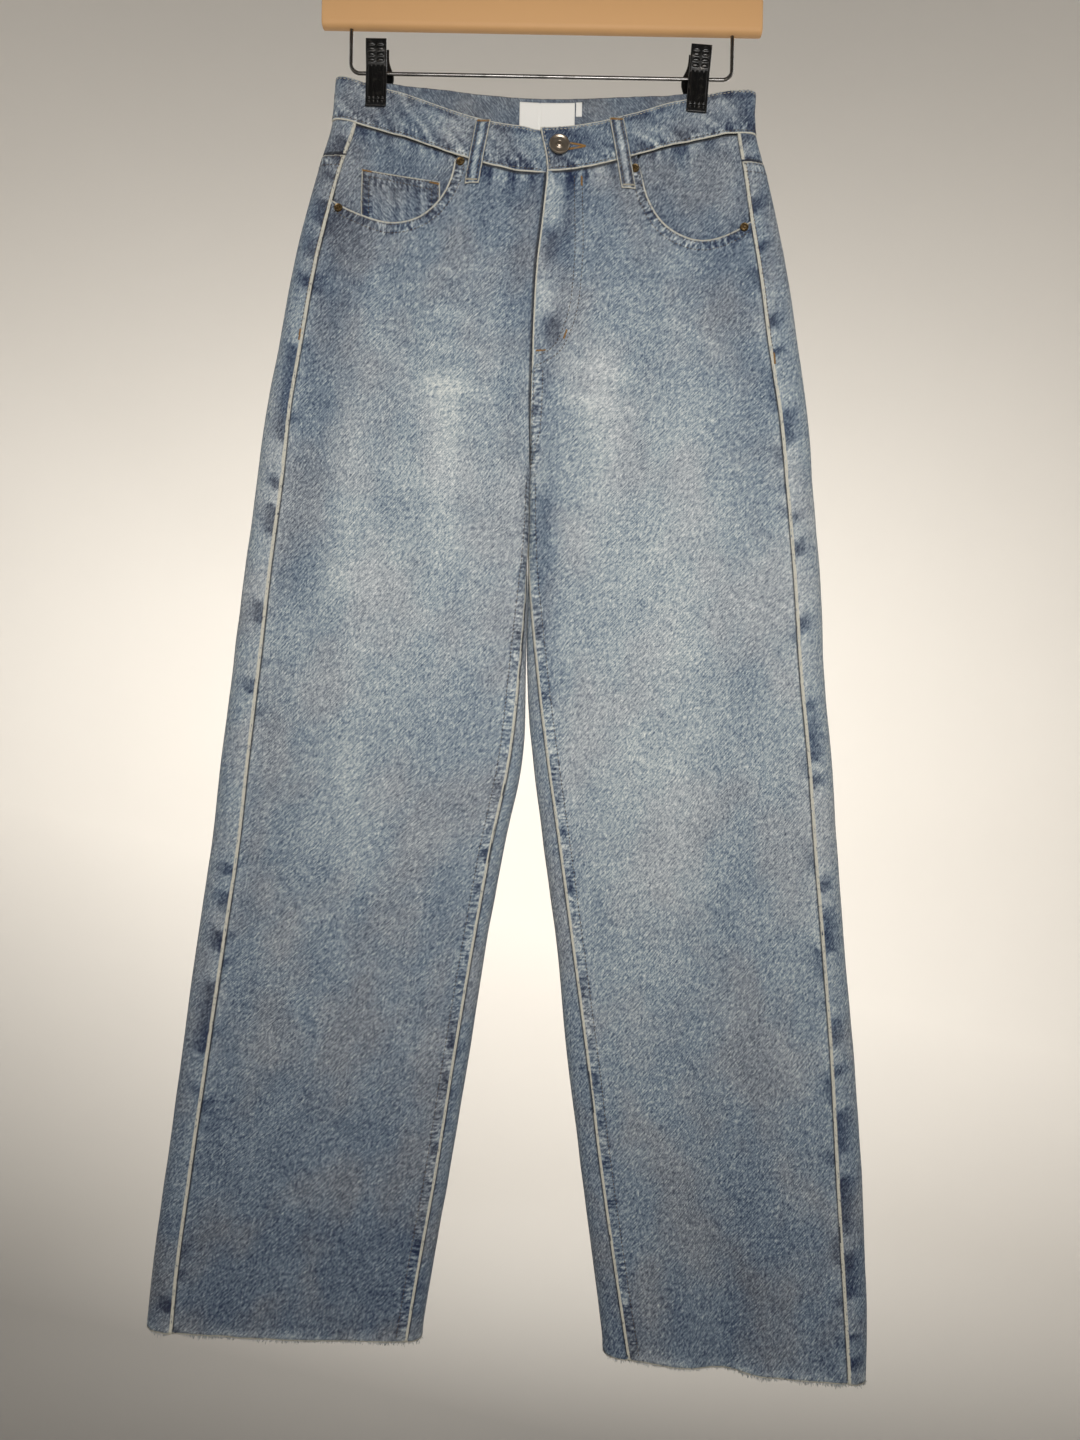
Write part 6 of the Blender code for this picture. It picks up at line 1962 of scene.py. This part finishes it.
def make_camera():
    data = bpy.data.cameras.new("camera")
    data.lens, data.sensor_width, data.sensor_fit = LENS, SENSOR, "AUTO"
    data.clip_start, data.clip_end = 0.02, 30.0
    camera = bpy.data.objects.new("camera", data)
    cos, sin = math.cos(CAMERA_ROLL), math.sin(CAMERA_ROLL)
    axes = Matrix(((cos, -sin, 0, 0), (0, 0, -1, 0), (sin, cos, 0, 0), (0, 0, 0, 1)))
    camera.matrix_world = Matrix.Translation(Vector(CAMERA_AT) * MM) @ axes
    bpy.context.scene.collection.objects.link(camera)
    bpy.context.scene.camera = camera
    bpy.context.scene.view_settings.view_transform = "Standard"


# ---------------------------------------------------------------- operators


class JeansOperator:
    bl_options = {"REGISTER", "UNDO"}


class JEANS_OT_stage(JeansOperator, bpy.types.Operator):
    """Add the pale floor with its painted shade, the soft lights and the camera"""

    bl_idname = "jeans.stage"
    bl_label = "Stage"

    def execute(self, context):
        make_camera()
        make_stage()
        make_lights()
        return {"FINISHED"}


class JEANS_OT_panels(JeansOperator, bpy.types.Operator):
    """Add the four long panels of washed denim"""

    bl_idname = "jeans.panels"
    bl_label = "Panels"

    def execute(self, context):
        for side in SIDES:
            for face in ("front", "back"):
                make_panel(side, face)
        return {"FINISHED"}


class JEANS_OT_yokes(JeansOperator, bpy.types.Operator):
    """Add the two back yokes"""

    bl_idname = "jeans.yokes"
    bl_label = "Yokes"

    def execute(self, context):
        for side in SIDES:
            make_yoke(side)
        return {"FINISHED"}


class JEANS_OT_waistband(JeansOperator, bpy.types.Operator):
    """Add the waistband"""

    bl_idname = "jeans.waistband"
    bl_label = "Waistband"

    def execute(self, context):
        make_band()
        return {"FINISHED"}


class JEANS_OT_pockets(JeansOperator, bpy.types.Operator):
    """Add the pocket facings, the coin pocket, the back pockets and the fly shield"""

    bl_idname = "jeans.pockets"
    bl_label = "Pockets"

    def execute(self, context):
        for side in SIDES:
            make_facing(side)
            make_back_pocket(side)
        make_coin_pocket()
        make_fly_shield()
        return {"FINISHED"}


class JEANS_OT_belt_loops(JeansOperator, bpy.types.Operator):
    """Add the five belt loops"""

    bl_idname = "jeans.belt_loops"
    bl_label = "Belt Loops"

    def execute(self, context):
        for name in BELT_LOOPS:
            make_belt_loop(name)
        return {"FINISHED"}


class JEANS_OT_label(JeansOperator, bpy.types.Operator):
    """Add the bare label and its small tag"""

    bl_idname = "jeans.label"
    bl_label = "Label"

    def execute(self, context):
        make_label()
        return {"FINISHED"}


class JEANS_OT_trim(JeansOperator, bpy.types.Operator):
    """Add the shank button and the four rivets"""

    bl_idname = "jeans.trim"
    bl_label = "Button and Rivets"

    def execute(self, context):
        make_button()
        for name in RIVETS:
            make_rivet(name)
        return {"FINISHED"}


class JEANS_OT_hanger(JeansOperator, bpy.types.Operator):
    """Add the hanger's wooden bar, its hook, its rail and the two clips"""

    bl_idname = "jeans.hanger"
    bl_label = "Hanger"

    def execute(self, context):
        make_bar()
        make_hook()
        make_rail()
        for side in SIDES:
            make_clip(side)
        return {"FINISHED"}


class JEANS_OT_sewing(JeansOperator, bpy.types.Operator):
    """Add the topstitching, the bar tacks and the frayed hems"""

    bl_idname = "jeans.sewing"
    bl_label = "Sewing"

    def execute(self, context):
        make_sewing()
        make_fray()
        return {"FINISHED"}


class JEANS_PT_sidebar(bpy.types.Panel):
    """Lists the pieces of the jeans"""

    bl_label = "Wide Leg Jeans"
    bl_idname = "JEANS_PT_sidebar"
    bl_space_type = "VIEW_3D"
    bl_region_type = "UI"
    bl_category = "Jeans"

    def draw(self, context):
        for group in (context.scene.jeans_cloth, context.scene.jeans_finish):
            for prop in group.bl_rna.properties:
                if prop.identifier not in {"rna_type", "name"}:
                    self.layout.prop(group, prop.identifier)
        for operator in OPERATORS:
            self.layout.operator(operator.bl_idname)


OPERATORS = (
    JEANS_OT_stage,
    JEANS_OT_panels,
    JEANS_OT_yokes,
    JEANS_OT_waistband,
    JEANS_OT_pockets,
    JEANS_OT_belt_loops,
    JEANS_OT_label,
    JEANS_OT_trim,
    JEANS_OT_hanger,
    JEANS_OT_sewing,
)
CLASSES = (ClothSettings, FinishSettings, *OPERATORS, JEANS_PT_sidebar)


def register():
    for item in CLASSES:
        bpy.utils.register_class(item)
    bpy.types.Scene.jeans_cloth = bpy.props.PointerProperty(type=ClothSettings)
    bpy.types.Scene.jeans_finish = bpy.props.PointerProperty(type=FinishSettings)


def unregister():
    del bpy.types.Scene.jeans_finish
    del bpy.types.Scene.jeans_cloth
    for item in reversed(CLASSES):
        bpy.utils.unregister_class(item)


def main():
    register()
    for operator in OPERATORS:
        getattr(bpy.ops.jeans, operator.bl_idname.split(".")[1])()


if __name__ == "__main__":
    main()
